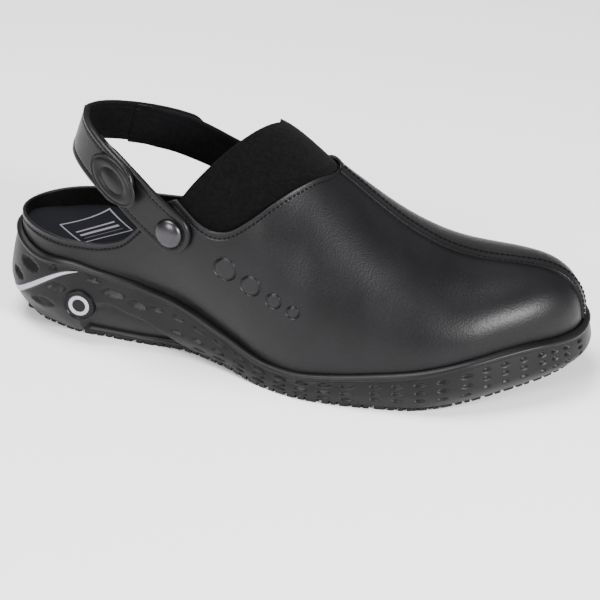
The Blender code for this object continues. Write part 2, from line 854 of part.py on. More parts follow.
def strip_line(share, out):
    """Line of the seam strip down the vamp, from the throat to the rim at the toe."""
    offset = share * SEAM_WIDTH / 2
    side = -1 if share < 0 else 1

    def point(s):
        start = foot(s, side, 0.0)
        middle = read(LAST, 2, s) * BALL_WIDTH
        half = abs(start.y - middle)
        cut = min(abs(offset) / half, 1.0) if half else 0.0
        girth = 2 / math.pi * math.acos(min(cut ** (read(LAST, 4, s) / 2), 1.0))
        return section(s, side, girth, -out)

    track = []
    low = rim(1.0, side) + SEAM_STOP
    for k in range(STRIP_SEARCH + 1):
        left = (1 - THROAT_STATION) * (1 - k / STRIP_SEARCH) ** 4
        spot = point(1 - left)
        if spot.z < low:
            last = track[-1]
            track.append(last + (spot - last) * (last.z - low) / (last.z - spot.z))
            break
        track.append(spot)
    return even_steps(track, STRIP_STEPS)


def even_steps(track, count):
    """Points at equal distances along a track."""
    lengths = [0.0]
    for a, b in zip(track, track[1:]):
        lengths.append(lengths[-1] + (b - a).length)
    found = []
    for k in range(count + 1):
        goal = lengths[-1] * k / count
        i = min(int(np.searchsorted(lengths, goal, side="right")) - 1, len(track) - 2)
        part = (goal - lengths[i]) / (lengths[i + 1] - lengths[i])
        found.append(track[i] + (track[i + 1] - track[i]) * part)
    return found


def make_strip():
    """Flat band over the vamp's closing seam."""
    outer = [strip_line(share, CURVED_GAP + SEAM_RISE) for share in SEAM_BAND]
    inner = [strip_line(share, CURVED_GAP) for share in SEAM_BAND]
    return wall(outer, inner)


def cut(thing, mesh, name):
    """Take a cutter out of a part with an exact boolean."""
    cutter = add_object(name, mesh, thing.data.materials[0])
    bpy.data.collections["chef_clog"].objects.unlink(cutter)
    bpy.data.collections["Cutters"].objects.link(cutter)
    cutter.hide_render = True
    cutter.display_type = "WIRE"
    change = thing.modifiers.new(name, "BOOLEAN")
    change.operation = "DIFFERENCE"
    change.solver = "EXACT"
    change.object = cutter


def material(name, colour, roughness, metallic=0.0):
    """Principled material."""
    made = bpy.data.materials.new(name)
    made.use_nodes = True
    shader = made.node_tree.nodes["Principled BSDF"]
    shader.inputs["Base Color"].default_value = (*colour, 1.0)
    shader.inputs["Roughness"].default_value = roughness
    shader.inputs["Metallic"].default_value = metallic
    return made


def main():
    for thing in list(bpy.data.objects):
        bpy.data.objects.remove(thing)
    for name in ("chef_clog", "Cutters"):
        bpy.context.scene.collection.children.link(bpy.data.collections.new(name))
    rubber = material("sole_rubber", (0.030, 0.030, 0.032), 0.50)
    leather = material("upper_leather", (0.045, 0.040, 0.045), 0.42)
    elastic = material("panel_elastic", (0.020, 0.019, 0.022), 0.90)
    lining = material("insole_fabric", (0.030, 0.035, 0.070), 0.90)
    outsole = add_object("outsole", make_sole(), rubber)
    seats = [
        make_stripe(CUTTER_REACH * GAP, STRIPE_THICKNESS + GAP, GAP),
        make_badge(BADGE_RADIUS + GAP, CUTTER_REACH * BADGE_THICKNESS, BADGE_THICKNESS + GAP),
        make_long_grooves(),
        make_cross_grooves(),
    ]
    cut(outsole, join(seats), "sole_cuts")
    outsole.modifiers["sole_cuts"].use_self = True
    pale = material("inlay_plastic", (0.42, 0.40, 0.46), 0.45)
    add_object("heel_inlay", make_stripe(STRIPE_PROUD, STRIPE_THICKNESS, 0.0), pale)
    add_object("side_badge", make_badge(BADGE_RADIUS, BADGE_PROUD, BADGE_THICKNESS), rubber)
    upper = add_object("upper", make_upper(), leather)
    add_object("insole", make_insole(), lining)
    add_object("elastic_panel", make_panel(), elastic)
    add_object("vamp_strip", make_strip(), leather)
    metal = material("rivet_metal", (0.10, 0.10, 0.11), 0.20, 1.0)
    add_object("heel_strap", make_loop(), leather)
    for side, name in ((-1, "lateral"), (1, "medial")):
        tab = add_object("strap_tab_" + name, make_tab(side), leather)
        cut(tab, make_shaft(side), "tab_hole_" + name)
        cut(upper, make_shaft(side), "upper_hole_" + name)
        add_object("rivet_" + name, make_rivet(side), metal)


main()
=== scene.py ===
# %% [markdown]
# # A kitchen clog in black leather
#
# The clog is an open-backed work shoe: a leather vamp over a moulded rubber cup, an elastic panel at the
# instep, and a strap that swings behind the heel. The CAD frame gives each piece its place. This lesson
# makes the skin of each piece finely enough for grain, stitches and moulded leaves, in the same frame.

import math

import bmesh
import bpy
import numpy as np
from mathutils import Matrix, Vector


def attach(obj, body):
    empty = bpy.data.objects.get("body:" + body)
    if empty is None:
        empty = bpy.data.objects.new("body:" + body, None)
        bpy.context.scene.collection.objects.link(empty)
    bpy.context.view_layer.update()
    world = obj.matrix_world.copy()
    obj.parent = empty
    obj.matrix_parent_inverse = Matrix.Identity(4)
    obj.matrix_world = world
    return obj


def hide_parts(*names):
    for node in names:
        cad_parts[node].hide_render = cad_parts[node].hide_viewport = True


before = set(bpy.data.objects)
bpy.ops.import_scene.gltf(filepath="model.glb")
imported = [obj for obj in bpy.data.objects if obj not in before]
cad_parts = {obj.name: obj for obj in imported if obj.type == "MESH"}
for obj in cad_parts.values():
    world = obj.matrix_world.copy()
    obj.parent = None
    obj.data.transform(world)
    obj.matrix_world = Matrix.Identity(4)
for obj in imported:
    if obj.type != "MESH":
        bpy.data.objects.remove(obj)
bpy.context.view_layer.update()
print("CAD nodes:", ", ".join(sorted(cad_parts)))

# %% [markdown]
# ## The camera
#
# The photograph looks down at the outer side of a right shoe from 28 degrees, with a long lens. The angles
# were found by laying the CAD over the picture. The camera comes first, because every later choice of
# detail depends on what it sees. The shift moves the picture without turning the camera.

# %% Camera
AZIMUTH, ELEVATION, ROLL = math.radians(13.5), math.radians(28), math.radians(2)
AIM, DISTANCE = Vector((-0.001, 0.0, 0.04)), 1.1
SENSOR, LENS, SHIFT = 36.0, 137.4, (0.0117, -0.0542)
back = Vector(
    (
        math.sin(AZIMUTH) * math.cos(ELEVATION),
        -math.cos(AZIMUTH) * math.cos(ELEVATION),
        math.sin(ELEVATION),
    )
)
level = Vector((math.cos(AZIMUTH), math.sin(AZIMUTH), 0.0))
upward = back.cross(level)
right = level * math.cos(ROLL) + upward * math.sin(ROLL)
above = upward * math.cos(ROLL) - level * math.sin(ROLL)
turned = Matrix((right, above, back)).transposed().to_4x4()
turned.translation = AIM + back * DISTANCE
camera = bpy.data.objects.new("camera", bpy.data.cameras.new("camera"))
bpy.context.scene.collection.objects.link(camera)
camera.matrix_world = turned
camera.data.sensor_width, camera.data.lens = SENSOR, LENS
camera.data.shift_x, camera.data.shift_y = SHIFT
bpy.context.scene.camera = camera
print("camera stands", round(turned.translation.length, 3), "m from the shoe")

# %% [markdown]
# ## The shape of the last
#
# A shoe is made over a last, and the CAD describes that last by short tables: plan, heights, sections, top
# edge. The same tables are written here, so a skin made from them lies where the CAD solid lies, but for
# the middle of the elastic's free edge, CREST_STATION, which lies a little further back here. A column is
# read as a smooth curve, for whole arrays at once, because a fine skin has thousands of points.

# %% Sizes of the last
SOLE_LENGTH, BALL_WIDTH, INSTEP_HEIGHT = 0.286, 0.108, 0.110
HEEL_ROUND, TOE_ROUND, HEEL_POWER, TOE_POWER = 0.036, 0.070, 2.0, 2.3
HEEL_THICKNESS, BALL_THICKNESS = 0.036, 0.009
TOE_SPRING, HEEL_BEVEL, ARCH_RISE, TOE_CURVE = 0.012, 0.0075, 0.0014, 1.7
HEEL_BREAK, TOE_BREAK = 0.085, 0.70
ARCH_START, ARCH_END, ARCH_SLOPE = 0.26, 0.50, 0.08
CUP_DEPTH, SIDE_BULGE = 0.019, 0.010
RIM_WIDTH, TOE_BUMPER, BEAD_HEIGHT, BEAD_GROOVE, BUMPER_START = 0.0024, 0.0006, 0.0030, 0.0007, 0.80
LEATHER, GAP, CURVED_GAP, SIDE_SHIFT = 0.0016, 0.0003, 0.0005, 0.0007
VAMP_ROUND, VAMP_ROUNDNESS = 0.031, 2.45
BELT_HEIGHT, BELT_START = 0.024, 0.0015
THROAT_STATION, CREST_STATION = 0.572, 0.463
CORNER = {-1: 0.322, 1: 0.440}

PLAN = (  # station, centre, half width; shares of BALL_WIDTH
    (0.000, 0.000, 0.285),
    (0.070, 0.000, 0.301),
    (0.125, 0.000, 0.311),
    (0.205, 0.000, 0.319),
    (0.275, -0.006, 0.313),
    (0.345, -0.022, 0.313),
    (0.415, -0.045, 0.335),
    (0.485, -0.066, 0.386),
    (0.550, -0.068, 0.434),
    (0.620, -0.048, 0.463),
    (0.690, -0.020, 0.479),
    (0.760, 0.007, 0.485),
    (0.830, 0.042, 0.465),
    (0.900, 0.072, 0.422),
    (0.950, 0.084, 0.395),
    (1.000, 0.090, 0.370),
)
LEVELS = (  # station, bed, rim outer side, rim inner side, inset at the ground, inset at the rim
    (0.000, 1.000, 0.160, 0.160, 1.000, 0.280),
    (0.070, 1.000, 0.250, 0.250, 1.250, 0.260),
    (0.125, 0.995, 0.300, 0.340, 1.100, 0.200),
    (0.175, 0.960, 0.240, 0.320, 1.100, 0.150),
    (0.230, 0.890, 0.200, 0.320, 1.000, 0.150),
    (0.285, 0.720, 0.220, 0.360, 0.900, 0.120),
    (0.345, 0.480, 0.230, 0.440, 0.700, 0.100),
    (0.415, 0.200, 0.200, 0.480, 0.300, 0.080),
    (0.470, 0.060, 0.170, 0.450, 0.080, 0.080),
    (0.540, 0.000, 0.190, 0.420, 0.050, 0.080),
    (0.600, 0.000, 0.290, 0.430, 0.080, 0.080),
    (0.655, 0.000, 0.410, 0.480, 0.150, 0.080),
    (0.710, 0.000, 0.540, 0.560, 0.250, 0.080),
    (0.780, 0.000, 0.690, 0.690, 0.420, 0.080),
    (0.840, 0.000, 0.780, 0.780, 0.600, 0.090),
    (0.920, 0.000, 0.760, 0.760, 0.750, 0.110),
    (1.000, 0.000, 0.480, 0.480, 0.750, 0.120),
)
LAST = (  # station, ridge, sideways place of the ridge, belt, squareness
    (0.000, 1.200, 0.000, 0.000, 2.40),
    (0.120, 1.200, 0.000, 0.000, 2.40),
    (0.200, 1.180, 0.000, 0.025, 2.40),
    (0.270, 1.150, 0.000, 0.070, 2.45),
    (0.340, 1.110, 0.000, 0.100, 2.50),
    (0.410, 1.085, 0.005, 0.090, 2.25),
    (0.470, 1.058, 0.010, 0.060, 2.05),
    (0.540, 0.938, 0.012, 0.030, 1.92),
    (0.572, 0.864, 0.010, 0.015, 2.02),
    (0.605, 0.802, 0.010, 0.008, 2.06),
    (0.640, 0.736, 0.010, 0.004, 2.10),
    (0.675, 0.674, 0.012, 0.000, 2.14),
    (0.710, 0.622, 0.016, 0.000, 2.16),
    (0.745, 0.580, 0.022, 0.000, 2.16),
    (0.780, 0.550, 0.030, 0.000, 2.18),
    (0.820, 0.531, 0.042, 0.000, 2.22),
    (0.880, 0.522, 0.062, 0.000, 2.30),
    (1.000, 0.516, 0.090, 0.000, 2.35),
)
COLLAR = (  # station, top edge on the outer side, on the inner side; shares of INSTEP_HEIGHT
    (0.000, 0.484, 0.484),
    (0.070, 0.472, 0.492),
    (0.130, 0.470, 0.488),
    (0.190, 0.490, 0.482),
    (0.225, 0.530, 0.480),
    (0.255, 0.610, 0.480),
    (0.285, 0.710, 0.484),
    (0.322, 0.775, 0.500),
    (0.355, 0.775, 0.545),
    (0.395, 0.775, 0.635),
    (0.440, 0.775, 0.720),
)
THROAT = (  # way from the corner to the throat, height of the seam on the outer and the inner side
    (0.00, 0.000, 0.000),
    (0.06, -0.350, -0.050),
    (0.15, -0.850, -0.080),
    (0.27, -1.200, 0.020),
    (0.38, -1.100, 0.180),
    (0.52, -0.450, 0.420),
    (0.66, 0.350, 0.720),
    (0.80, 0.950, 0.950),
    (0.92, 1.150, 1.050),
    (1.00, 1.000, 1.000),
)


# %% Reading a table, and soft steps
def read(table, column, where):
    rows = np.array(table)
    at, value = rows[:, 0], rows[:, column]
    slope = np.gradient(value, at)
    where = np.clip(where, at[0], at[-1])
    i = np.clip(np.searchsorted(at, where, side="right") - 1, 0, len(at) - 2)
    width = at[i + 1] - at[i]
    t = (where - at[i]) / width
    start = value[i] * (2 * t**3 - 3 * t**2 + 1) + slope[i] * width * (t**3 - 2 * t**2 + t)
    return start + value[i + 1] * (3 * t**2 - 2 * t**3) + slope[i + 1] * width * (t**3 - t**2)


def ease(t):
    t = np.clip(t, 0.0, 1.0)
    return t * t * (3 - 2 * t)


def closing(distance, reach, power):
    t = 1 - np.clip(distance / reach, 0.0, 1.0)
    return (1 - t**power) ** (1 / power)


print("rim at the ball is", round(float(read(LEVELS, 2, 0.6)) * CUP_DEPTH * 1000, 1), "mm above the bed")


# %% [markdown]
# ## Plan, floor and sections
#
# From the tables come the outline of the sole, the tread's face, the bed that the insole lies on, and the
# section of the last at any station. `girth` runs from 0 at the rim to 1 at the ridge. These are the
# CAD's own rules, so the skins made here nest in each other as the solids do.


# %% Plan and heights
def outline(s, side, inset):
    x = s * SOLE_LENGTH
    ends = closing(x, HEEL_ROUND, HEEL_POWER) * closing(SOLE_LENGTH - x, TOE_ROUND, TOE_POWER)
    half = read(PLAN, 2, s) * BALL_WIDTH
    y = read(PLAN, 1, s) * BALL_WIDTH + side * (half - inset) * ends
    return (x - SOLE_LENGTH / 2) * (1 - 2 * inset / SOLE_LENGTH), y


def ground(x):
    s = x / SOLE_LENGTH + 0.5
    toe = np.maximum(s - TOE_BREAK, 0.0) / (1 - TOE_BREAK)
    heel = np.maximum(HEEL_BREAK - s, 0.0) / HEEL_BREAK
    arch = ease((s - ARCH_START) / ARCH_SLOPE) * ease((ARCH_END - s) / ARCH_SLOPE)
    return TOE_SPRING * toe**TOE_CURVE + HEEL_BEVEL * heel**2 + ARCH_RISE * arch


def bed(x):
    share = read(LEVELS, 1, x / SOLE_LENGTH + 0.5)
    return BALL_THICKNESS + (HEEL_THICKNESS - BALL_THICKNESS) * share + ground(x)


def rim(s, side):
    return bed((s - 0.5) * SOLE_LENGTH) + CUP_DEPTH * read(LEVELS, 2 if side < 0 else 3, s)


def rim_inset(s):
    return SIDE_BULGE * read(LEVELS, 5, s)


def rim_width(s):
    return RIM_WIDTH + TOE_BUMPER * ease((s - BUMPER_START) / (1 - BUMPER_START))


# %% Sections of the last
def foot(s, side, inset):
    x, y = outline(s, side, rim_inset(s) + rim_width(s) + CURVED_GAP + inset)
    return x, y, rim(s, side)


def section(s, side, girth, inset=0.0):
    x, y, z = foot(s, side, inset)
    ridge = read(LAST, 1, s) * INSTEP_HEIGHT - inset
    toe = closing((1 - s) * SOLE_LENGTH, VAMP_ROUND, VAMP_ROUNDNESS)
    rise = (ridge - z) * np.where(s > 0.5, toe, 1.0)
    ends = closing(s * SOLE_LENGTH, HEEL_ROUND, HEEL_POWER)
    power = 2 / read(LAST, 4, s)
    turn = np.clip(girth, 0.0, 1.0) * math.pi / 2
    up = rise * np.sin(turn) ** power
    middle = read(LAST, 2, s) * BALL_WIDTH
    swell = 1 - np.exp(-np.maximum(up - BELT_START, 0.0) / BELT_HEIGHT)
    belt = side * read(LAST, 3, s) * BALL_WIDTH * ends * swell
    across = np.clip(np.cos(turn), 0.0, 1.0) ** power
    across = np.where(np.asarray(girth) >= 1.0, 0.0, across)
    y = middle + (y - middle + belt) * across
    x, y, z = np.broadcast_arrays(x, y, z + up)
    return np.stack((x, y, z), axis=-1)


def girth_at(s, side, z):
    start = rim(s, side)
    rise = read(LAST, 1, s) * INSTEP_HEIGHT - start
    share = np.clip((z - start) / rise, 0.0, 1.0)
    return np.arcsin(share ** (read(LAST, 4, s) / 2)) * 2 / math.pi


def top_girth(s, side):
    column = 1 if side < 0 else 2
    corner = CORNER[side]
    low = read(COLLAR, column, corner) * INSTEP_HEIGHT
    high = read(LAST, 1, THROAT_STATION) * INSTEP_HEIGHT
    way = (s - corner) / (THROAT_STATION - corner)
    seam = low + (high - low) * read(THROAT, column, way)
    height = np.where(s <= corner, read(COLLAR, column, s) * INSTEP_HEIGHT, seam)
    return np.where(s >= THROAT_STATION, 1.0, girth_at(s, side, height))


print("top of the vamp:", section(0.6, -1, 1.0).round(4))

# %% [markdown]
# ## From a grid of points to a piece
#
# Most pieces here are sheets: columns of points that run round the shoe, joined by four-sided faces. One
# helper turns any number of grids into one mesh, welds the points that coincide, turns all faces outward
# and shades it smooth. A value for each point, such as its distance from an edge, can be kept with the mesh
# as an attribute for the finish to use.


# %% Grids to meshes
def faces_of(columns, rows, first):
    grid = np.arange(columns * rows).reshape(columns, rows) + first
    quads = np.stack((grid[:-1, :-1], grid[1:, :-1], grid[1:, 1:], grid[:-1, 1:]), axis=-1)
    return quads.reshape(-1, 4)


def rims_between(top, under):
    """The two narrow strips that close the long edges of two facing grids."""
    return [np.stack((top[:, k], under[:, k]), axis=1) for k in (0, -1)]


WELD, SPECK = 2e-6, 1e-7  # points this near are one, edges this short are removed


def make_piece(name, sheets, finishes, node=None):
    """Each sheet is a grid of points, or such a grid with its finish number and {value name: grid}."""
    points, faces, numbers, values = [], [], [], {}
    first = 0
    for sheet in sheets:
        grid, number, extra = sheet if isinstance(sheet, tuple) else (sheet, 0, {})
        columns, rows = grid.shape[:2]
        quads = faces_of(columns, rows, first)
        points.append(grid.reshape(-1, 3))
        faces.append(quads)
        numbers.append(np.full(len(quads), number))
        for key, value in extra.items():
            values.setdefault(key, []).append((first, value.reshape(-1)))
        first += columns * rows
    points = np.concatenate(points)
    points[:, 1] += SIDE_SHIFT
    mesh = bpy.data.meshes.new(name)
    mesh.from_pydata(points.tolist(), [], np.concatenate(faces).tolist())
    mesh.polygons.foreach_set("material_index", np.concatenate(numbers).astype(np.int32))
    for key, chunks in values.items():
        whole = np.zeros(len(points))
        for start, chunk in chunks:
            whole[start : start + len(chunk)] = chunk
        mesh.attributes.new(key, "FLOAT", "POINT").data.foreach_set("value", whole)
    for finish in finishes:
        mesh.materials.append(finish.material)
    made = bmesh.new()
    made.from_mesh(mesh)
    bmesh.ops.remove_doubles(made, verts=made.verts, dist=WELD)
    bmesh.ops.dissolve_degenerate(made, edges=made.edges, dist=SPECK)
    bmesh.ops.recalc_face_normals(made, faces=made.faces)
    made.to_mesh(mesh)
    made.free()
    mesh.shade_smooth()
    thing = bpy.data.objects.new(name, mesh)
    bpy.context.scene.collection.objects.link(thing)
    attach(thing, "root")
    if node:
        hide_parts(node)
    print(f"{name}: {sum(len(p.vertices) - 2 for p in mesh.polygons)} triangles")
    return thing


def around(stations, column):
    """One grid from the toe along the outer side to the heel, and back along the inner side."""
    outer = column(stations[::-1, None], -1)
    inner = column(stations[1:, None], 1)
    return np.concatenate((outer, inner))


def run_along(x, y):
    """Length of a flat line from its start to each of its points."""
    return np.concatenate(([0.0], np.cumsum(np.hypot(np.diff(x), np.diff(y)))))


def even_stations(count, keep=()):
    """Stations at equal steps along the edge of the sole, with a few kept exactly."""
    dense = (1 - np.cos(np.linspace(0.0, math.pi, 6001))) / 2
    x, y = outline(dense, -1, 0.0)
    run = run_along(x, y)
    found = np.interp(np.linspace(0.0, run[-1], count), run, dense)
    for stop in keep:
        found[np.argmin(abs(found - stop))] = stop
    return found


def round_about(profile, middle, ahead, aside, out, sides=40):
    """Turned piece. profile: rows of distance outwards and radius."""
    turn = np.linspace(0.0, 2 * math.pi, sides + 1)[:, None, None]
    turn[-1] = turn[0]
    height = np.array([row[0] for row in profile])[None, :, None]
    radius = np.array([row[1] for row in profile])[None, :, None]
    spoke = np.cos(turn) * np.array(ahead) + np.sin(turn) * np.array(aside)
    return np.array(middle) + np.array(out) * height + spoke * radius


# %% [markdown]
# ## Finishes written as sums
#
# A finish is a small network of nodes, but it reads better as arithmetic. The class below holds one socket
# and lets Python's operators add the Math nodes, so `grain * 0.3 + pores` makes two of them. Every other
# node comes from one method that takes its type, its settings and what goes into its sockets.


# %% Shader arithmetic
class Wire:
    def __init__(self, finish, socket):
        self.finish, self.socket = finish, socket

    def math(self, operation, *others):
        return self.finish.math(operation, self, *others)

    def __add__(self, other):
        return self.math("ADD", other)

    def __sub__(self, other):
        return self.math("SUBTRACT", other)

    def __rsub__(self, other):
        return self.finish.math("SUBTRACT", other, self)

    def __mul__(self, other):
        return self.math("MULTIPLY", other)

    __radd__, __rmul__ = __add__, __mul__

    def smooth(self, low, high):
        """0 below low, 1 above high, soft between."""
        spread = {"interpolation_type": "SMOOTHSTEP"}
        return self.finish.node("ShaderNodeMapRange", spread, {"Value": self, 1: low, 2: high})

    def near(self, place, width):
        """1 at a value, 0 further from it than a width."""
        return 1 - (self - place).math("ABSOLUTE").smooth(0.0, width)


class Finish:
    def __init__(self, name, constants):
        self.material = bpy.data.materials.new(name)
        self.material.use_nodes = True
        self.tree = self.material.node_tree
        self.shader = self.tree.nodes["Principled BSDF"]
        for key, value in constants.items():
            self.shader.inputs[key].default_value = value

    def node(self, kind, settings, inputs, output=0):
        made = self.tree.nodes.new(kind)
        for key, value in settings.items():
            setattr(made, key, value)
        for key, value in inputs.items():
            self.plug(made.inputs[key], value)
        return Wire(self, made.outputs[output])

    def math(self, operation, *values):
        return self.node("ShaderNodeMath", {"operation": operation}, dict(enumerate(values)))

    def plug(self, socket, value):
        if isinstance(value, Wire):
            self.tree.links.new(value.socket, socket)
        else:
            socket.default_value = value

    def feed(self, **sockets):
        for key, value in sockets.items():
            self.plug(self.shader.inputs[key.replace("_", " ")], value)

    def fed(self, key):
        """What a socket of the shader is fed with so far."""
        return Wire(self, self.shader.inputs[key].links[0].from_socket)

    def place(self):
        return self.node("ShaderNodeTexCoord", {}, {}, "Object")

    def noise(self, scale, detail=2.0, rough=0.5):
        inputs = {"Vector": self.place(), "Scale": scale, "Detail": detail, "Roughness": rough}
        return self.node("ShaderNodeTexNoise", {}, inputs)

    def cells(self, scale):
        inputs = {"Vector": self.place(), "Scale": scale}
        return self.node("ShaderNodeTexVoronoi", {"feature": "SMOOTH_F1"}, inputs)

    def kept(self, name):
        """A value that the mesh carries for each point."""
        return self.node("ShaderNodeAttribute", {"attribute_name": name}, {}, "Fac")

    def blend(self, amount, low, high):
        """Colour between two colours."""
        low, high = ((*c, 1.0) if isinstance(c, tuple) else c for c in (low, high))
        return self.node("ShaderNodeMix", {"data_type": "RGBA"}, {0: amount, 6: low, 7: high}, 2)

    def relief(self, height, distance, strength=1.0, under=None):
        inputs = {"Height": height, "Distance": distance, "Strength": strength}
        if under:
            inputs["Normal"] = under
        return self.node("ShaderNodeBump", {}, inputs)


# %% [markdown]
# ## Leather, rubber and cloth
#
# The leather is a smooth corrected grain: cells under a millimetre wide whose furrows only show where light
# grazes them, over a slow change of tone. Rubber is duller and evener, with a fine moulded skin. The elastic
# has a short nap that swallows light, so its relief is strong and its gloss is almost none.


# %% Leather
def leather(name, edge_row=False, discs=()):
    made = Finish(name, {"Specular IOR Level": 0.22})
    tone = made.noise(34.0, 3.0)
    pebble = made.cells(1150.0)
    pores = made.noise(2600.0, 2.0)
    colour = made.blend(tone.smooth(0.30, 0.72), (0.0026, 0.0024, 0.0030), (0.0050, 0.0045, 0.0054))
    made.feed(Roughness=tone * 0.06 + pebble * 0.08 + 0.34)
    grain = made.relief(pebble * 0.75 + pores * 0.30, 0.00016, 0.50)
    if edge_row:
        edge = made.kept("edge_distance")
        # Painted shade: the line of the stitches is darkened as if shaded in its groove.
        row = edge.near(STITCH_IN, 0.0011)
        # Painted highlight: the folded top edge is made paler, as if light catches its roll.
        fold = 1 - edge.smooth(0.0, 0.0012)
        colour = made.blend(row * 0.75, colour, (0.002, 0.002, 0.0022))
        colour = made.blend(fold * 0.5, colour, (0.014, 0.013, 0.014))
        grain = made.relief(row * -1.0 + fold * 0.5, 0.0004, 0.8, grain)
    for centre, radius in discs:
        offset = made.node(
            "ShaderNodeVectorMath", {"operation": "DISTANCE"}, {0: made.place(), 1: centre}, "Value"
        )
        # Painted highlight and shade: each disc's raised middle is made paler as if lit, its ring darker as
        # if shaded.
        ring = offset.near(radius, 0.00075)
        rise = 1 - offset.smooth(radius - 0.0015, radius)
        grain = made.relief(rise * 0.55 - ring * 0.9, 0.0011, 0.9, grain)
        colour = made.blend(rise * 0.5, colour, (0.0095, 0.0088, 0.0102))
        colour = made.blend(ring * 0.6, colour, (0.001, 0.001, 0.0013))
    made.feed(Base_Color=colour, Normal=grain)
    return made


# %% Rubber
def rubber(name):
    made = Finish(name, {"Specular IOR Level": 0.20})
    tone = made.noise(60.0, 3.0)
    skin = made.noise(1500.0, 3.0, 0.6)
    made.feed(
        Base_Color=made.blend(tone.smooth(0.3, 0.7), (0.0026, 0.0026, 0.0030), (0.0052, 0.0050, 0.0056)),
        Roughness=tone * 0.12 + 0.36,
        Normal=made.relief(skin, 0.00010, 0.35),
    )
    return made


# %% Elastic, lining and insole cloth
def napped(name, dark, pale, depth):
    made = Finish(name, {"Specular IOR Level": 0.05, "Sheen Weight": 0.02, "Sheen Roughness": 0.5})
    fibre = made.noise(3200.0, 3.0, 0.7)
    clump = made.noise(700.0, 2.0)
    made.feed(
        Base_Color=made.blend((fibre * 0.6 + clump * 0.4).smooth(0.35, 0.68), dark, pale),
        Roughness=fibre * 0.1 + 0.88,
        Normal=made.relief(fibre * 0.6 + clump * 0.6, depth, 0.9),
    )
    return made


# %% Thread, plastic and metal
def mottled(name, constants, noise, dark, pale, swing, rough, relief=None):
    """Two tones, a roughness that follows them, and relief given as distance and strength."""
    made = Finish(name, constants)
    tone = made.noise(*noise)
    made.feed(Base_Color=made.blend(tone, dark, pale), Roughness=tone * swing + rough)
    if relief:
        made.feed(Normal=made.relief(tone, *relief))
    return made


# %% [markdown]
# ## The upper
#
# The upper is one piece of leather, drawn down over the last and let into the sole's cup. Its outer and
# inner skins are the same section at two insets, so the wall is as thick as real leather all round. The
# inner skin gets the lining's finish. Four pressed discs on the outer side are relief, with a painted
# highlight on their raised middles and painted shade in their rings.

# %% Finishes of the upper
STITCH_IN = 0.0028
DISCS = (  # station, girth, radius
    (0.4165, 0.218, 0.0055),
    (0.4630, 0.225, 0.0048),
    (0.5050, 0.231, 0.0036),
    (0.5400, 0.228, 0.0030),
)
pressed = []
for disc_station, disc_girth, disc_radius in DISCS:
    spot = section(disc_station, -1, disc_girth) + (0.0, SIDE_SHIFT, 0.0)
    pressed.append((tuple(float(v) for v in spot), disc_radius))
vamp_leather = leather("vamp_leather", edge_row=True, discs=pressed)
plain_leather = leather("strap_leather")
lining = napped("lining_cloth", (0.0020, 0.0020, 0.0022), (0.0060, 0.0060, 0.0066), 0.0005)
print("pressed discs:", [round(radius * 2000, 1) for _, radius in pressed], "mm across")

# %% The skins of the upper
UPPER_ROWS = np.concatenate((np.linspace(0.0, 0.86, 44), np.linspace(0.88, 1.0, 13)))
upper_stations = even_stations(230, (0.322, 0.440, CREST_STATION, 0.540, THROAT_STATION))


def upper_skin(inset):
    def column(s, side):
        x, y, _ = foot(s, side, inset)
        low = np.stack((x, y, bed(x) + GAP), axis=-1)
        return np.concatenate((low[:, :1], section(s, side, top_girth(s, side) * UPPER_ROWS, inset)), axis=1)

    return around(upper_stations, column)


UPPER_ROUND = np.concatenate((upper_stations[::-1], upper_stations[1:]))
FAR = 0.05  # a distance that means no edge is near


def from_top(grid):
    """Distance of each point from the top edge, down its own column."""
    steps = np.linalg.norm(np.diff(grid[:, ::-1], axis=1), axis=-1)
    run = np.concatenate((np.zeros((len(grid), 1)), np.cumsum(steps, axis=1)), axis=1)[:, ::-1]
    return np.where(UPPER_ROUND[:, None] > THROAT_STATION + 0.001, FAR, run)


outer, inner = upper_skin(0.0), upper_skin(LEATHER)
edges = rims_between(outer, inner)
open_top = UPPER_ROUND <= THROAT_STATION + 1e-9
start, stop = np.flatnonzero(open_top)[[0, -1]]
upper = make_piece(
    "upper_leather",
    [
        (outer, 0, {"edge_distance": from_top(outer)}),
        (inner, 1, {"edge_distance": np.full(inner.shape[:2], FAR)}),
        (edges[0], 1, {}),
        edges[1][start : stop + 1],
    ],
    [vamp_leather, lining],
    "upper",
)

# %% [markdown]
# ## The turned edge
#
# The leather is folded over at the collar and along the elastic, which leaves a small round lip. A tube
# of nine sides, swept along the edge of the upper, gives that lip its own highlight.


# %% Sweeping a small section along a line
def frames(track, out):
    """Unit directions along, out of and across a line."""
    along = np.gradient(track, axis=0)
    along /= np.linalg.norm(along, axis=1)[:, None]
    out = out - along * np.sum(out * along, axis=1)[:, None]
    out /= np.linalg.norm(out, axis=1)[:, None]
    return along, out, np.cross(along, out)


def sweep(track, out, wide, high, sides=9):
    along, out, aside = frames(track, out)
    turn = np.linspace(0.0, 2 * math.pi, sides + 1)
    turn[-1] = 0.0
    cos, sin = np.cos(turn)[None, :, None], np.sin(turn)[None, :, None]
    body = track[:, None] + cos * aside[:, None] * wide + sin * out[:, None] * high
    tips = [np.repeat(end[:, None], sides + 1, axis=1) for end in (track[:1], track[-1:])]
    return np.concatenate((tips[0], body, tips[1]))


LIP_WIDE, LIP_HIGH = 0.0006, 0.00088
edge_middle = (outer[start : stop + 1, -1] + inner[start : stop + 1, -1]) / 2
edge_out = outer[start : stop + 1, -1] - inner[start : stop + 1, -1]
lip = make_piece("collar_lip", [sweep(edge_middle, edge_out, LIP_WIDE, LIP_HIGH)], [plain_leather])

# %% [markdown]
# ## Stitches
#
# A lockstitch shows as a row of short, fat dashes that sink at both ends. Each one here is a small spindle,
# set along its own bit of the line, and a whole row is one mesh. The thread is black, duller than leather.

# %% Thread and rows of stitches
dull, dark, pale = {"Specular IOR Level": 0.1}, (0.0015, 0.0015, 0.002), (0.006, 0.0056, 0.0065)
thread = mottled("black_thread", dull, (5200.0, 2.0), dark, pale, 0.2, 0.62, (0.0001, 0.6))


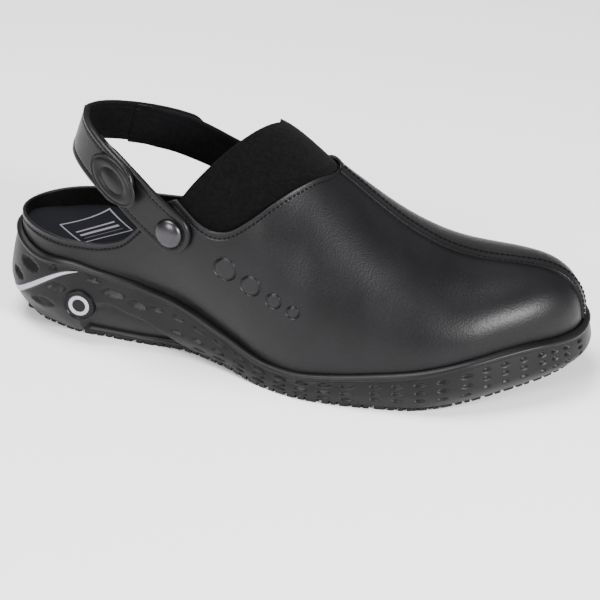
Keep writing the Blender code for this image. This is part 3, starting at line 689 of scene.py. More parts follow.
def resample(track, out, pitch, count=0):
    run = np.concatenate(([0.0], np.cumsum(np.linalg.norm(np.diff(track, axis=0), axis=1))))
    count = count or max(int(run[-1] / pitch), 1)
    at = (np.arange(count) + 0.5) * run[-1] / count
    return tuple(np.stack([np.interp(at, run, v[:, k]) for k in range(3)], axis=1) for v in (track, out))


STITCH_SHARE, STITCH_FLAT = 0.86, 0.8  # dash over pitch, height over width


def stitch_row(track, out, pitch=0.0023, thick=0.00038, sides=6):
    """Grids of one spindle each."""
    spots, face = resample(track, out, pitch)
    along, face, aside = frames(spots, face)
    swell = np.array([0.0, 0.75, 1.0, 0.75, 0.0])
    reach = np.array([-0.5, -0.36, 0.0, 0.36, 0.5]) * pitch * STITCH_SHARE
    turn = np.linspace(0.0, 2 * math.pi, sides + 1)
    turn[-1] = 0.0
    ring = np.cos(turn)[:, None] * aside[:, None] + np.sin(turn)[:, None] * face[:, None] * STITCH_FLAT
    return [
        spot + along[k] * reach[:, None, None] + ring[k][None] * (swell * thick)[:, None, None]
        for k, spot in enumerate(spots)
    ]


def skin_normals(grid):
    normal = np.cross(np.gradient(grid, axis=0), np.gradient(grid, axis=1))
    return normal / (np.linalg.norm(normal, axis=-1)[..., None] + 1e-12)


def line_below_edge(depth):
    """Line on the outer skin at a distance under the open top edge."""
    run, normal = from_top(outer)[start : stop + 1], skin_normals(outer)[start : stop + 1]
    skin = outer[start : stop + 1]
    spots, ways = [], []
    for column, distance, ways_out in zip(skin, run, normal):
        spots.append([np.interp(depth, distance[::-1], column[::-1, k]) for k in range(3)])
        ways.append([np.interp(depth, distance[::-1], ways_out[::-1, k]) for k in range(3)])
    return np.array(spots), np.array(ways)


row_track, row_out = line_below_edge(STITCH_IN)
if np.mean(row_out[:, 2]) < 0:
    row_out = -row_out
collar_stitches = make_piece("collar_stitches", stitch_row(row_track, row_out), [thread])

# %% [markdown]
# ## The centre seam
#
# The vamp is two halves closed by a seam down the middle, covered by a narrow strip that is stitched along
# both edges. The strip follows the last at a small fixed distance from the middle, with a crowned top.

# %% The strip and its two rows
SEAM_WIDTH, SEAM_RISE = 0.0062, 0.0007
SEAM_LIFT, SEAM_PITCH, SEAM_THREAD = 0.0001, 0.0025, 0.00042


def seam_line(share, lift):
    side = -1 if share < 0 else 1
    left = (1 - THROAT_STATION) * (1 - np.linspace(0.0, 1.0, 900)) ** 4
    s = 1 - left
    _, y, _ = foot(s, side, 0.0)
    middle = read(LAST, 2, s) * BALL_WIDTH
    cut = np.clip(abs(share) * SEAM_WIDTH / 2 / np.maximum(abs(y - middle), 1e-9), 0.0, 1.0)
    girth = 2 / math.pi * np.arccos(np.clip(cut ** (read(LAST, 4, s) / 2), 0.0, 1.0))
    track = section(s, side, girth, -lift)
    low = rim(np.array(1.0), side) + 4 * GAP
    track = track[: int(np.argmax(track[:, 2] < low))]
    return resample(track, track, 0.0, 100)[0]


shares = np.array([-1.0, -0.94, -0.8, -0.5, 0.0, 0.5, 0.8, 0.94, 1.0])
crown = np.array([-1.5, 0.4, 0.85, 0.7, 1.0, 0.7, 0.85, 0.4, -1.5]) * SEAM_RISE
strip = np.stack([seam_line(a, CURVED_GAP + c) for a, c in zip(shares, crown)], axis=1)
seam_leather = leather("seam_leather")
from_side = seam_leather.kept("edge_distance")
# Painted shade: the strip is darkened along both edges, where it steps down onto the vamp.
painted_edge_shade = (1 - from_side.smooth(0.0007, 0.0015)) * 0.95
seam_colour = seam_leather.blend(painted_edge_shade, seam_leather.fed("Base Color"), (0.0008, 0.0008, 0.0009))
seam_leather.feed(Base_Color=seam_colour)
to_side = np.broadcast_to((1 - abs(shares)) * SEAM_WIDTH / 2, strip.shape[:2])
sheets = [(strip, 0, {"edge_distance": to_side})]
seam = make_piece("vamp_seam", sheets, [seam_leather], "vamp_strip")
strip_out = skin_normals(strip)
strip_out *= np.sign(np.mean(strip_out[:50, 4, 2]))
rows = []
for k in (2, 6):
    row = strip[:, k] + strip_out[:, k] * SEAM_LIFT
    rows += stitch_row(row, strip_out[:, k], SEAM_PITCH, SEAM_THREAD)
seam_stitches = make_piece("seam_stitches", rows, [thread])

# %% [markdown]
# ## The elastic panel
#
# A wide piece of elastic bridges the instep. It is sewn in under the leather's edge and is free at the back,
# where it is folded over. It is a four-sided sheet between the two corners of the quarters, the free edge
# and the seam, laid on the last a little below the leather.

# %% The elastic panel
ELASTIC, ELASTIC_TUCK, PANEL_EASE = 0.0014, 0.0055, 0.0004


def panel(inset):
    grids = []
    for side, ways in ((-1, np.linspace(0.0, 1.0, 70)), (1, np.linspace(1.0, 0.0, 70)[1:])):
        way = ways[:, None]
        start_s = CORNER[side]
        corner = top_girth(np.array(start_s), side)
        back_s, back_girth = start_s + (CREST_STATION - start_s) * way, corner + (1 - corner) * way
        seam_s = start_s + (THROAT_STATION - start_s) * way
        drop = ELASTIC_TUCK / INSTEP_HEIGHT * np.sqrt(np.clip(1 - way**2, 0.0, 1.0))
        front_s = seam_s + ELASTIC_TUCK / SOLE_LENGTH * way
        front_girth = top_girth(seam_s, side) - drop
        a = np.linspace(0.0, 1.0, 44)[None, :]
        girth = np.minimum(back_girth + (front_girth - back_girth) * a, 1.0)
        grids.append(section(back_s + (front_s - back_s) * a, side, girth, inset))
    return np.concatenate(grids)


gore_cloth = napped("gore_elastic", (0.0007, 0.0007, 0.0008), (0.0038, 0.0036, 0.0038), 0.0006)
gore_inset = LEATHER + CURVED_GAP + PANEL_EASE
top_face, under_face = panel(gore_inset), panel(gore_inset + ELASTIC)
sheets = [top_face, under_face, *rims_between(top_face, under_face)]
gore = make_piece("elastic_gore", sheets, [gore_cloth], "elastic_panel")

# %% [markdown]
# ## The footbed
#
# The insole is a cloth-covered foam bed, cupped a little round the heel. Its print is kept plain: a thin
# frame and a few bars, drawn by distances in the finish, with no words.

# %% The footbed
INSOLE_THICKNESS, INSOLE_CUP = 0.0055, 0.0030
FLAT_POWER, FLAT_START, CUP_END, CUP_FADE = 5, 0.10, 0.45, 0.30
bed_stations = even_stations(200)[1:-1]
across = np.sin(np.linspace(-math.pi / 2, math.pi / 2, 41))


def bed_skin(lift):
    s = bed_stations[:, None]
    x, outer_y, _ = foot(s, -1, LEATHER + CURVED_GAP)
    inner_y = foot(s, 1, LEATHER + CURVED_GAP)[1]
    flat = (1 - abs(across) ** FLAT_POWER) * ease(s / FLAT_START)
    cup = INSOLE_CUP * ease((CUP_END - s) / CUP_FADE) * (1 - flat) * (lift > GAP)
    y = (outer_y + inner_y) / 2 + across * (inner_y - outer_y) / 2
    x, y, z = np.broadcast_arrays(x, y, bed(x) + lift + cup)
    return np.stack((x, y, z), axis=-1)


footbed_cloth = Finish("footbed_cloth", {"Specular IOR Level": 0.1, "Sheen Weight": 0.03})
weave = footbed_cloth.noise(2400.0, 3.0, 0.7)
PRINT_CENTRE, PRINT_TURN, PRINT_HALF = (-0.1032, 0.0082), math.radians(52), (0.0145, 0.0100)
PRINT_LINE, BARS_IN, BARS_TOP, BAR_RATE = 0.0006, (-0.0036, -0.0030), (0.001, 0.0015), 1500.0
x_part, y_part = (
    footbed_cloth.node("ShaderNodeSeparateXYZ", {}, {0: footbed_cloth.place()}, axis) - PRINT_CENTRE[axis]
    for axis in (0, 1)
)
u = x_part * math.cos(PRINT_TURN) + y_part * math.sin(PRINT_TURN)
v = y_part * math.cos(PRINT_TURN) - x_part * math.sin(PRINT_TURN)
box = (u.math("ABSOLUTE") - PRINT_HALF[0]).math("MAXIMUM", v.math("ABSOLUTE") - PRINT_HALF[1])
line = box.near(0.0, PRINT_LINE)
inside = 1 - box.smooth(*BARS_IN)
bars = (v * BAR_RATE).math("SINE").smooth(0.1, 0.5) * inside * (1 - v.smooth(*BARS_TOP))
print_mask = (line * 0.8).math("MAXIMUM", bars * 0.75) * (weave.smooth(0.2, 0.5) * 0.4 + 0.6)
cloth = footbed_cloth.blend(weave.smooth(0.3, 0.7), (0.0026, 0.0030, 0.0042), (0.0058, 0.0067, 0.0094))
footbed_cloth.feed(
    Base_Color=footbed_cloth.blend(print_mask, cloth, (0.30, 0.28, 0.33)),
    Roughness=weave * 0.1 + 0.86,
    Normal=footbed_cloth.relief(weave, 0.0003, 0.6),
)
bed_top, bed_under = bed_skin(GAP + INSOLE_THICKNESS), bed_skin(GAP)
walls = rims_between(bed_top, bed_under)
walls += [np.stack((bed_top[k], bed_under[k]), axis=1) for k in (0, -1)]
footbed = make_piece("footbed", [bed_top, bed_under, *walls], [footbed_cloth], "insole")

# %% [markdown]
# ## The sole
#
# The sole is one moulding. Its side swells from the tread to a bead under the upper, and rows of shallow
# leaves are let into it. Each leaf is a dent: a grid that is fine enough is pushed in by a lens-shaped
# depth, deeper along its upper edge. Behind the ball the side is scooped out, which makes the arch look thin.

# %% The leaves and the scoop
TOOTH = 0.0022
SIDE_WALL = (  # share of the height, share of the inset at the ground, share of the inset at the rim
    (0.000, 0.74, 0.00),
    (0.080, 0.55, 0.00),
    (0.270, 0.18, 0.00),
    (0.450, 0.00, 0.00),
    (0.600, 0.00, 0.14),
    (0.753, 0.00, 0.40),
    (0.880, 0.00, 0.68),
    (1.000, 0.00, 1.00),
)
BEAD = (  # way over the bead, share of the rim's width, share of the bead's height
    (0.00, 0.29, 0.00),
    (0.08, 0.10, 0.06),
    (0.18, 0.00, 0.22),
    (0.35, -0.06, 0.50),
    (0.52, 0.02, 0.70),
    (0.68, 0.24, 0.88),
    (0.84, 0.62, 1.00),
    (1.00, 1.17, 1.08),
)
SCOOP = (  # station, top of the scoop as a share of the wall's height
    (0.135, 0.00),
    (0.165, 0.48),
    (0.205, 0.66),
    (0.240, 0.60),
    (0.275, 0.54),
    (0.303, 0.40),
    (0.335, 0.12),
    (0.360, 0.00),
)
SIDE_LEAVES = (  # station from, station to, step, length and height in metres, rows
    (0.292, 0.66, 0.0385, 0.0074, 0.0021, (0.82, 0.50, 0.20)),
    (0.685, 0.84, 0.0360, 0.0058, 0.0022, (0.82, 0.58, 0.32)),
    (0.858, 0.945, 0.0270, 0.0042, 0.0020, (0.86, 0.66, 0.44)),
    (0.957, 0.994, 0.0170, 0.0040, 0.0019, (0.88, 0.68, 0.46)),
)
HEEL_LEAVES = (  # station, share of the height, length, height
    (0.050, 0.86, 0.0160, 0.0052),
    (0.030, 0.62, 0.0120, 0.0040),
    (0.100, 0.95, 0.0060, 0.0022),
    (0.112, 0.70, 0.0120, 0.0050),
    (0.088, 0.44, 0.0150, 0.0050),
    (0.176, 0.95, 0.0080, 0.0022),
    (0.214, 0.84, 0.0130, 0.0040),
    (0.218, 0.66, 0.0160, 0.0040),
    (0.258, 0.78, 0.0110, 0.0034),
    (0.180, 0.60, 0.0060, 0.0022),
)
LEAF_CLEAR, LEAF_SLOPE, LEAF_TILT = 0.08, 4.0, 0.38
LEAF_DEPTH, LEAF_SHARE = 0.0012, 0.15
SCOOP_DEPTH, SCOOP_EDGE, WALL_FOOT, WALL_FADE = 0.0030, 0.10, 0.02, 0.05
leaves = list(HEEL_LEAVES)
for first_s, last_s, step, length, height, levels in SIDE_LEAVES:
    for middle_s in np.arange(first_s, last_s, step):
        leaves += [(middle_s, level_v, length, height) for level_v in levels]
print(len(leaves), "leaves a side")


def side_depth(s, v, run, high):
    """How far the side is pushed in, by station, share of the height, length along and wall height."""
    depth = np.zeros(np.broadcast(s, v).shape)
    at = run[:, 0]
    order = np.argsort(s[:, 0])
    for middle_s, middle_v, length, height in leaves:
        in_scoop = SCOOP[0][0] < middle_s < SCOOP[-1][0]
        if in_scoop and middle_v < float(read(SCOOP, 1, middle_s)) + LEAF_CLEAR:
            continue
        centre = np.interp(middle_s, s[order, 0], at[order])
        a = (run - centre) / (length / 2)
        b = (v - middle_v) * high / (height / 2)
        lens = np.clip((1 - a**2 - abs(b)) * LEAF_SLOPE, 0.0, 1.0)
        tilted = 1 - LEAF_TILT + LEAF_TILT * np.clip(b, -1.0, 1.0)
        depth += ease(lens) * tilted * (LEAF_DEPTH + LEAF_SHARE * height)
    brim = read(SCOOP, 1, s)
    return depth + SCOOP_DEPTH * ease((brim - v) / SCOOP_EDGE) * ease(brim / SCOOP_EDGE)


# %% The side of the sole
sole_stations = even_stations(560)


def wall_inset(low, high_inset, v):
    return low * read(SIDE_WALL, 1, v) + (high_inset + BEAD_GROOVE) * read(SIDE_WALL, 2, v)


def wall_rows(s, side):
    low, high_inset = SIDE_BULGE * read(LEVELS, 4, s), rim_inset(s)
    base = ground(outline(s, side, low)[0]) + TOOTH
    under = rim(s, side) - BEAD_HEIGHT
    return low, high_inset, base, under


def sole_skin(s, side):
    low, high_inset, base, under = wall_rows(s, side)
    x, y = outline(s, side, 0.0)
    run = run_along(x[:, 0], y[:, 0])[:, None]
    v = np.linspace(0.0, 1.0, 40)[None, :]
    inset = wall_inset(low, high_inset, v)
    inset = inset + side_depth(s, v, run, under - base) * ease((v - WALL_FOOT) / WALL_FADE)
    wall_x, wall_y = outline(s, side, inset)
    wall_z = base + (under - base) * v
    way = np.linspace(0.0, 1.0, 12)[None, 1:]
    bead_x, bead_y = outline(s, side, high_inset + rim_width(s) * read(BEAD, 1, way))
    bead_z = under + BEAD_HEIGHT * read(BEAD, 2, way)
    cup_x, cup_y = outline(s, side, high_inset + rim_width(s) * BEAD[-1][1])
    parts = ((wall_x, wall_y, wall_z), (bead_x, bead_y, bead_z), (cup_x, cup_y, bed(cup_x)))
    return np.concatenate([np.stack(np.broadcast_arrays(*part), axis=-1) for part in parts], axis=1)


sole_rubber = rubber("sole_rubber_skin")
sole_side = around(sole_stations, sole_skin)
half = len(sole_stations) - 1
lids = [np.stack((sole_side[half::-1, k], sole_side[half:, k]), axis=1) for k in (0, -1)]
sole = make_piece("sole_moulding", [sole_side, *lids], [sole_rubber], "outsole")

# %% [markdown]
# ## The tread
#
# Kitchen floors are wet, so the tread is a field of small blocks that cut through the water. The row at the
# edge shows as teeth under the side. Blocks are set on a grid inside the outline, and teeth along it.

# %% Tread blocks
BLOCK, BLOCK_GAP, BLOCK_IN = 0.0046, 0.0017, 0.0065
FIELD_X, FIELD_Y = (-0.130, 0.128), (-0.060, 0.060)
BLOCK_RINGS = ((0.0, 0.86), (0.0004, 0.97), (TOOTH + 0.0009, 1.06))  # height, share of the size


def block_grids(centre, ahead, half_long, half_wide):
    """A small block with drawn-in sides, from the floor up into the sole."""
    aside = np.array((-ahead[1], ahead[0]))
    rings = []
    for lift, grow in BLOCK_RINGS:
        ring = []
        for a, b in ((-1, -1), (1, -1), (1, 1), (-1, 1), (-1, -1)):
            flat = centre + ahead * (a * half_long * grow) + aside * (b * half_wide * grow)
            ring.append((*flat, float(ground(np.array(flat[0]))) + lift))
        rings.append(ring)
    flat = np.array(rings)
    cap = np.repeat(flat[:1].mean(axis=1, keepdims=True), 5, axis=1)
    return [np.concatenate((cap, flat))]


blocks = []
pitch = BLOCK + BLOCK_GAP
for i, x_block in enumerate(np.arange(*FIELD_X, pitch)):
    s_block = x_block / SOLE_LENGTH + 0.5
    low = SIDE_BULGE * float(read(LEVELS, 4, s_block)) + BLOCK_IN
    y_low, y_high = (float(outline(np.array(s_block), side, low)[1]) for side in (-1, 1))
    for y_block in np.arange(*FIELD_Y, pitch) + (i % 2) * pitch / 2:
        if y_low < y_block < y_high:
            centre, ahead = np.array((x_block, y_block)), np.array((1.0, 0.0))
            blocks += block_grids(centre, ahead, BLOCK / 2, BLOCK / 2)
TOOTH_WIDTHS = (0.0040, 0.0028, 0.0050, 0.0032, 0.0024, 0.0044)
TOOTH_GAPS = (0.0015, 0.0010, 0.0024, 0.0012, 0.0017)
TOOTH_SHARE, TOOTH_IN, TOOTH_HALF, TOOTH_STEP = 0.78, 0.0022, 0.0020, 0.002
FIRST_TOOTH, LAST_TOOTH = 0.003, 0.007
for side in (-1, 1):
    dense = even_stations(900)
    low = SIDE_BULGE * read(LEVELS, 4, dense)
    edge_x, edge_y = outline(dense, side, low * TOOTH_SHARE + TOOTH_IN)
    run = run_along(edge_x, edge_y)
    at, k = FIRST_TOOTH, 0
    while at < run[-1] - LAST_TOOTH:
        wide = TOOTH_WIDTHS[k % len(TOOTH_WIDTHS)]
        here, there = (
            np.array([np.interp(at + wide / 2 + step, run, e) for e in (edge_x, edge_y)])
            for step in (0.0, TOOTH_STEP)
        )
        ahead = (there - here) / np.linalg.norm(there - here)
        blocks += block_grids(here, ahead, wide / 2, TOOTH_HALF)
        at += wide + TOOTH_GAPS[k % len(TOOTH_GAPS)]
        k += 1
tread_rubber = rubber("tread_rubber")
tread = make_piece("tread_blocks", blocks, [tread_rubber])
tread.data.set_sharp_from_angle(angle=math.radians(40))

# %% [markdown]
# ## Inlay and badge
#
# A pale stripe runs round the heel and tapers to a point on each side. It lies in a groove of the sole. The
# round disc beside it is plain, with one raised ring: a disc like this often carries a mark, and here it
# carries none.

# %% The stripe
STRIPE_WIDTH, STRIPE_LOW, STRIPE_RISE = 0.0036, 0.0135, 0.0240
STRIPE_OUT, STRIPE_IN, GROOVE_OUT, GROOVE_SHARE = 0.0003, -0.001, 0.00004, 1.75
STRIPE = (  # station, rise, width
    (0.000, 0.000, 1.000),
    (0.030, 0.150, 1.000),
    (0.060, 0.420, 0.950),
    (0.090, 0.690, 0.800),
    (0.120, 0.900, 0.500),
    (0.148, 1.000, 0.080),
)


def beside(s, side, z, out):
    """Point beside the smooth side of the sole at a height."""
    low, high_inset, base, under = wall_rows(s, side)
    v = np.clip((z - base) / (under - base), 0.0, 1.0)
    x, y = outline(s, side, wall_inset(low, high_inset, v) - out)
    return np.stack(np.broadcast_arrays(x, y, z), axis=-1)


def stripe_skin(out, wide):
    stops = sole_stations[sole_stations < STRIPE[-1][0]]
    rounding = np.array((-1.0, -0.8, -0.3, 0.3, 0.8, 1.0))

    def column(s, side):
        middle = STRIPE_LOW + STRIPE_RISE * read(STRIPE, 1, s)
        z = middle + wide * STRIPE_WIDTH / 2 * read(STRIPE, 2, s) * rounding
        drop = np.array((0.0006, 0.0, -0.0001, -0.0001, 0.0, 0.0006)) * (out > 0)
        return beside(s, side, z, out - drop)

    return around(stops, column)


plastic, dark, pale = {"IOR": 1.46, "Coat Weight": 0.1}, (0.26, 0.24, 0.28), (0.36, 0.34, 0.39)
inlay = mottled("pale_inlay", plastic, (420.0, 3.0), dark, pale, 0.15, 0.38, (0.0001, 0.3))
skins = [stripe_skin(out, 1.0) for out in (STRIPE_OUT, STRIPE_IN)]
stripe = make_piece("heel_stripe", [*skins, *rims_between(*skins)], [inlay], "heel_inlay")
dark, pale = (0.003, 0.003, 0.003), (0.006, 0.006, 0.007)
groove = mottled("groove_shadow", {}, (900.0,), dark, pale, 0.1, 0.6)
bed_of_stripe = make_piece("stripe_bed", [stripe_skin(GROOVE_OUT, GROOVE_SHARE)], [groove])

# %% The plain disc
BADGE_RADIUS, BADGE_STATION, BADGE_HEIGHT, BADGE_STEP = 0.0080, 0.157, 0.0205, 0.02


def outward_frame(point, ahead, behind):
    along = np.append(np.array(ahead[:2]) - np.array(behind[:2]), 0.0)
    along /= np.linalg.norm(along)
    out = np.cross(along, (0.0, 0.0, 1.0))
    return np.array(point), along, np.array((0.0, 0.0, 1.0)), out


badge_points = [
    np.append(outline(np.array(BADGE_STATION + step), -1, 0.0), BADGE_HEIGHT)
    for step in (0.0, BADGE_STEP, -BADGE_STEP)
]
badge_spot, badge_along, badge_up, badge_out = outward_frame(*badge_points)
BADGE_PROFILE = (  # distance outwards and radius, as shares of the radius
    (0.045, 0.00),
    (0.045, 0.42),
    (0.100, 0.46),
    (0.100, 0.62),
    (0.045, 0.66),
    (0.040, 0.84),
    (0.095, 0.88),
    (0.095, 0.96),
    (0.000, 1.00),
    (-0.30, 1.00),
    (-0.30, 0.00),
)
profile = [(h * BADGE_RADIUS, r * BADGE_RADIUS) for h, r in BADGE_PROFILE]
disc = round_about(profile, badge_spot, badge_along, badge_up, badge_out, 64)
gloss, dark, pale = {"Specular IOR Level": 0.15}, (0.003, 0.003, 0.0035), (0.006, 0.006, 0.0065)
badge_gloss = mottled("badge_gloss", gloss, (700.0,), dark, pale, 0.1, 0.26)
sheets = [disc[:, :2], (disc[:, 1:5], 1, {}), disc[:, 4:]]
badge = make_piece("heel_disc", sheets, [badge_gloss, inlay], "side_badge")
badge.data.set_sharp_from_angle(angle=math.radians(50))

# %% [markdown]
# ## The strap
#
# The strap is a band of leather in three parts: a short tab on each side that turns on a rivet, and the loop
# behind the heel, which ends over the tabs. Each face of a band is a grid. Its edge is cut raw and rounded,
# a groove with stitches runs inside the edge, and the border outside the groove is a little padded.

# %% Line of the strap
STRAP_WIDTH, STRAP_THICKNESS, STRAP_BACK, STRAP_HEIGHT = 0.0215, 0.0026, 0.139, 0.0990
STRAP_TILT, STRAP_STAND, STRAP_FLAT, STRAP_OVERLAP, TAB_START = 0.30, 0.0009, 0.85, 0.61, 0.36
SIDES = ((-1, "lateral"), (1, "medial"))
RIVET = {-1: (0.319, 0.0700), 1: (0.416, 0.0690)}
PROBE = 0.01  # small step in station, girth or way, for a direction
STRAP_LINE = (  # way, shares of the distances along X, Y and Z from the back to the rivet
    (0.00, 0.000, 0.000, 0.00),
    (0.15, 0.050, 0.210, 0.03),
    (0.30, 0.150, 0.410, 0.09),
    (0.45, 0.300, 0.610, 0.19),
    (0.60, 0.480, 0.780, 0.34),
    (0.80, 0.750, 0.930, 0.68),
    (1.00, 1.000, 1.000, 1.00),
)


def unit(v):
    return v / np.linalg.norm(v, axis=-1, keepdims=True)


def strap_frame(way, side):
    s, z = RIVET[side]
    girth = girth_at(np.array(s), side, z)
    seat = section(np.array(s), side, girth)
    ahead = section(np.array(s + PROBE), side, girth) - section(np.array(s - PROBE), side, girth)
    up = section(np.array(s), side, girth + PROBE) - section(np.array(s), side, girth - PROBE)
    face = unit(np.cross(ahead, up))
    face = face if face[1] * side > 0 else -face
    end = seat + face * STRAP_STAND
    origin = np.array(((STRAP_BACK - 0.5) * SOLE_LENGTH, 0.0, STRAP_HEIGHT))

    def point(w):
        shares = np.stack([read(STRAP_LINE, k, w) for k in (1, 2, 3)], axis=-1)
        return origin + (end - origin) * shares

    way = np.clip(way, 0.0, 1.0)
    along = unit(point(np.minimum(way + PROBE, 1.0)) - point(np.maximum(way - PROBE, 0.0)))
    along = np.where((way < PROBE)[:, None], np.array((0.0, float(side), 0.0)), along)
    out = unit(np.cross((STRAP_TILT, 0.0, 1.0), along)) * side
    turn = ease((way - STRAP_OVERLAP) / (STRAP_FLAT - STRAP_OVERLAP))[:, None]
    out = unit(out + (face - out) * turn)
    along = unit(along - out * np.sum(out * along, axis=-1, keepdims=True))
    return point(way), along, np.cross(along, out) * side, out


CAP_STEPS = 14


def band_grid(side, ways, half):
    """Middle, across direction, out direction and half width for each column, the round end included."""
    middle, along, aside, out = strap_frame(ways, side)
    turn = np.linspace(0.0, math.pi / 2, CAP_STEPS + 1)[1:, None]
    cap = middle[-1] + along[-1] * half * np.sin(turn)
    middles = np.concatenate((middle, cap))
    asides = np.concatenate((aside, np.repeat(aside[-1:], CAP_STEPS, axis=0)))
    outs = np.concatenate((out, np.repeat(out[-1:], CAP_STEPS, axis=0)))
    reach = np.concatenate((np.full(len(ways), half), half * np.cos(turn[:, 0])))
    past = np.concatenate((np.zeros(len(ways)), half * np.sin(turn[:, 0])))
    return middles, asides, outs, reach, past


BAND = np.sin(np.linspace(-math.pi / 2, math.pi / 2, 35))
BORDER, EDGE_ROUND, EDGE_SHARE = 0.0030, 0.0008, 0.38
PADDING, CHANNEL_DEPTH, CHANNEL_WIDTH, THREAD_SINK = 0.00018, 0.00035, 0.00042, 0.0002


def face_of_band(parts, half, base, sign):
    """One face of a band at a distance out; sign 1 for the outer face, -1 for the inner."""
    middles, asides, outs, reach, past = parts
    offset = BAND[None, :] * reach[:, None]
    distance = half - np.hypot(offset, past[:, None])
    rounding = np.clip(1 - distance / EDGE_ROUND, 0.0, 1.0) ** 2 * STRAP_THICKNESS * EDGE_SHARE
    pad = PADDING * np.sin(np.clip(distance / BORDER, 0.0, 1.0) * math.pi)
    channel = CHANNEL_DEPTH * np.exp(-(((distance - BORDER) / CHANNEL_WIDTH) ** 2))
    lift = base + sign * (pad - channel - rounding)
    grid = middles[:, None] + asides[:, None] * offset[..., None] + outs[:, None] * lift[..., None]
    return grid, distance


def band_rows(side, ways, half, base, sign):
    """Track of the stitches on one face of a band, out along one edge, round the end and back."""
    track_half, steps = half - BORDER, 25
    middle, along, aside, out = strap_frame(ways, side)
    turn = np.linspace(math.pi / 2, -math.pi / 2, steps)[:, None]
    first = middle + aside * track_half
    cap = middle[-1] + (aside[-1] * np.sin(turn) + along[-1] * np.cos(turn)) * track_half
    track = np.concatenate((first, cap, (middle - aside * track_half)[::-1]))
    faces = np.concatenate((out, np.repeat(out[-1:], steps, axis=0), out[::-1]))
    return track + faces * (base - sign * THREAD_SINK), faces * sign


# %% The finish of a band
def band_leather(name):
    made = leather(name)
    distance = made.kept("edge_distance")
    raw = 1 - distance.smooth(0.0002, 0.0010)
    # Painted shade: the line of the stitch channel is darkened as if shaded in its groove.
    painted_channel_shade = distance.near(BORDER, 0.0008)
    colour = made.blend(raw * 0.85, made.fed("Base Color"), (0.0022, 0.0020, 0.0022))
    made.feed(Base_Color=made.blend(painted_channel_shade * 0.6, colour, (0.0020, 0.0020, 0.0024)))
    return made


band_finish = band_leather("band_leather")
inner_finish = napped("band_lining", (0.0018, 0.0018, 0.0021), (0.0048, 0.0048, 0.0055), 0.0003)

# %% Tabs
TAB_SHARE, TAB_STITCHES = 0.98, 0.45  # width as a share of the strap's, way where the stitches start
SKIVED_SHARE, SKIVED_WAY = 0.94, 0.16  # how much of the start is pared away, and over what way
for side, name in SIDES:
    half = STRAP_WIDTH * TAB_SHARE / 2
    ways = np.linspace(TAB_START, 1.0, 60)
    parts = band_grid(side, ways, half)
    top, distance = face_of_band(parts, half, STRAP_THICKNESS, 1)
    way_on = np.append(ways, np.ones(CAP_STEPS)) - TAB_START
    skived = STRAP_THICKNESS * SKIVED_SHARE * (1 - ease(way_on / SKIVED_WAY))
    under, _ = face_of_band(parts, half, skived[:, None], -1)
    sheets = [(top, 0, {"edge_distance": distance}), (under, 1, {"edge_distance": distance})]
    sheets += [*rims_between(top, under), np.stack((top[0], under[0]), axis=1)]
    tab = make_piece("tab_" + name, sheets, [band_finish, inner_finish], "strap_tab_" + name)
    rows = stitch_row(*band_rows(side, ways[ways > TAB_STITCHES], half, STRAP_THICKNESS, 1))
    stitches = make_piece("tab_stitches_" + name, rows, [thread])

# %% The loop
half = STRAP_WIDTH / 2
low_face = STRAP_THICKNESS + GAP
ways = np.linspace(0.0, STRAP_OVERLAP, 80)
tops, unders, distances, rows = [], [], [], []
for side in (-1, 1):
    parts = band_grid(side, ways, half)
    top, distance = face_of_band(parts, half, low_face + STRAP_THICKNESS, 1)
    under, _ = face_of_band(parts, half, low_face, -1)
    keep = slice(None, None, -1) if side < 0 else slice(1, None)
    tops.append(top[keep])
    unders.append(under[keep])
    distances.append(distance[keep])
    rows += stitch_row(*band_rows(side, ways, half, low_face + STRAP_THICKNESS, 1))
    rows += stitch_row(*band_rows(side, ways, half, low_face, -1))
top, under, distance = np.concatenate(tops), np.concatenate(unders), np.concatenate(distances)
sheets = [(top, 0, {"edge_distance": distance}), (under, 1, {"edge_distance": distance})]
sheets += rims_between(top, under)
loop = make_piece("strap_loop", sheets, [band_finish, inner_finish], "heel_strap")
loop_stitches = make_piece("loop_stitches", rows, [thread])

# %% [markdown]
# ## Oval pads and rivets
#
# A moulded oval pad with a smaller plain oval in it lies on each end of the loop. The rivet has a domed cap
# of dark polished metal. Both are turned profiles; the pad's turning is stretched along the strap.

# %% Oval pads
PAD = (  # height in metres, share of the radius
    (0.00075, 0.00),
    (0.00080, 0.44),
    (0.00035, 0.49),
    (0.00035, 0.52),
    (0.00095, 0.57),
    (0.00100, 0.74),
    (0.00095, 0.82),
    (0.00040, 0.86),
    (0.00040, 0.89),
    (0.00075, 0.93),
    (0.00060, 0.98),
    (0.00000, 1.00),
)
PAD_STRETCH, PAD_IN, PAD_BACK = 1.75, 0.0016, 0.015  # length, border round it, way back from the loop's end
pad_rubber = rubber("pad_rubber")
for side, name in SIDES:
    spot, along, aside, out = (v[0] for v in strap_frame(np.array([STRAP_OVERLAP - PAD_BACK]), side))
    surface = low_face + STRAP_THICKNESS
    profile = [(surface + height, radius * (half - PAD_IN)) for height, radius in PAD]
    oval = round_about(profile, spot, along * PAD_STRETCH, aside, out, 72)
    pad = make_piece("oval_pad_" + name, [oval], [pad_rubber])

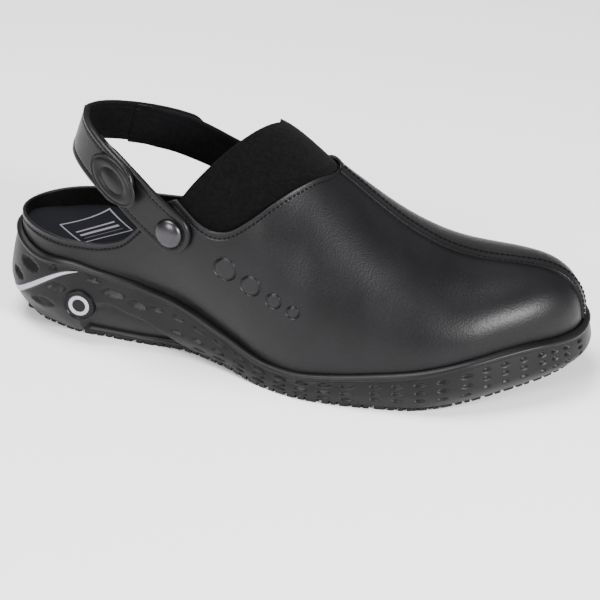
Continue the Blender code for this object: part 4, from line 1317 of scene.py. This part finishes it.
# %% Rivets
HEAD_RADIUS, HEAD_HEIGHT, HEAD_SEAT, SHANK_RADIUS = 0.0070, 0.0032, 0.94, 0.0028
FLANGE_RADIUS, FLANGE = 0.0048, 0.0010
metal, dark, pale = {"Metallic": 1.0}, (0.042, 0.040, 0.043), (0.070, 0.066, 0.072)
nickel = mottled("dark_nickel", metal, (240.0, 3.0), dark, pale, 0.08, 0.30)
for side, name in SIDES:
    spot, along, aside, out = (v[0] for v in strap_frame(np.array([1.0]), side))
    seat, inside = STRAP_THICKNESS + 2 * GAP, -(STRAP_STAND + LEATHER + CURVED_GAP)
    turn = np.linspace(0.0, math.pi / 2, 12)
    dome = [(seat + HEAD_HEIGHT * math.cos(t), HEAD_RADIUS * math.sin(t)) for t in turn]
    dome += [(seat, HEAD_RADIUS * HEAD_SEAT), (seat, SHANK_RADIUS), (inside, SHANK_RADIUS)]
    dome += [(inside, FLANGE_RADIUS), (inside - FLANGE, FLANGE_RADIUS), (inside - FLANGE, 0.0)]
    cap = round_about(dome, spot, along, aside, out, 56)
    rivet = make_piece("cap_" + name, [cap], [nickel], "rivet_" + name)
    rivet.data.set_sharp_from_angle(angle=math.radians(45))

# %% [markdown]
# ## Floor and light
#
# A catalogue picture: a pale sweep with no horizon, a big soft light above the heel for the throat, one in
# front for the flank and the quarter, and a small strong one from the toe's side for the highlight on the
# toe. The pale world fills the shade.

# %% Floor
floor_mesh = bpy.data.meshes.new("floor")
FLOOR_REACH = 6.0
corners = [(x * FLOOR_REACH, y * FLOOR_REACH, 0) for x, y in ((-1, -1), (1, -1), (1, 1), (-1, 1))]
floor_mesh.from_pydata(corners, [], [(0, 1, 2, 3)])
floor = bpy.data.objects.new("floor", floor_mesh)
bpy.context.scene.collection.objects.link(floor)
sweep_finish = Finish("pale_floor", {"Roughness": 0.9, "Specular IOR Level": 0.1})
floor_tone = sweep_finish.noise(3.0)
sweep_finish.feed(Base_Color=sweep_finish.blend(floor_tone, (0.90, 0.90, 0.90), (0.93, 0.93, 0.93)))
floor_mesh.materials.append(sweep_finish.material)

# %% World and lamps
world = bpy.data.worlds.new("studio")
world.use_nodes = True
sky = world.node_tree.nodes["Background"].inputs
sky["Color"].default_value, sky["Strength"].default_value = (1.0, 1.0, 1.0, 1.0), 0.40
bpy.context.scene.world = world
LAMPS = (  # name, place, size, power
    ("overhead", (-0.35, 0.00, 1.30), 0.70, 30.0),
    ("left_front", (-0.45, -1.10, 0.70), 0.45, 17.0),
    ("right_front", (1.00, -0.62, 0.60), 0.34, 34.0),
)
SHOE_MIDDLE = Vector((0.0, 0.0, 0.04))
for name, place, size, power in LAMPS:
    lamp = bpy.data.objects.new(name, bpy.data.lights.new(name, "AREA"))
    lamp.data.size, lamp.data.energy = size, power
    lamp.location = place
    lamp.rotation_euler = (Vector(place) - SHOE_MIDDLE).to_track_quat("Z", "Y").to_euler()
    bpy.context.scene.collection.objects.link(lamp)
    print(name, "stands at", place)
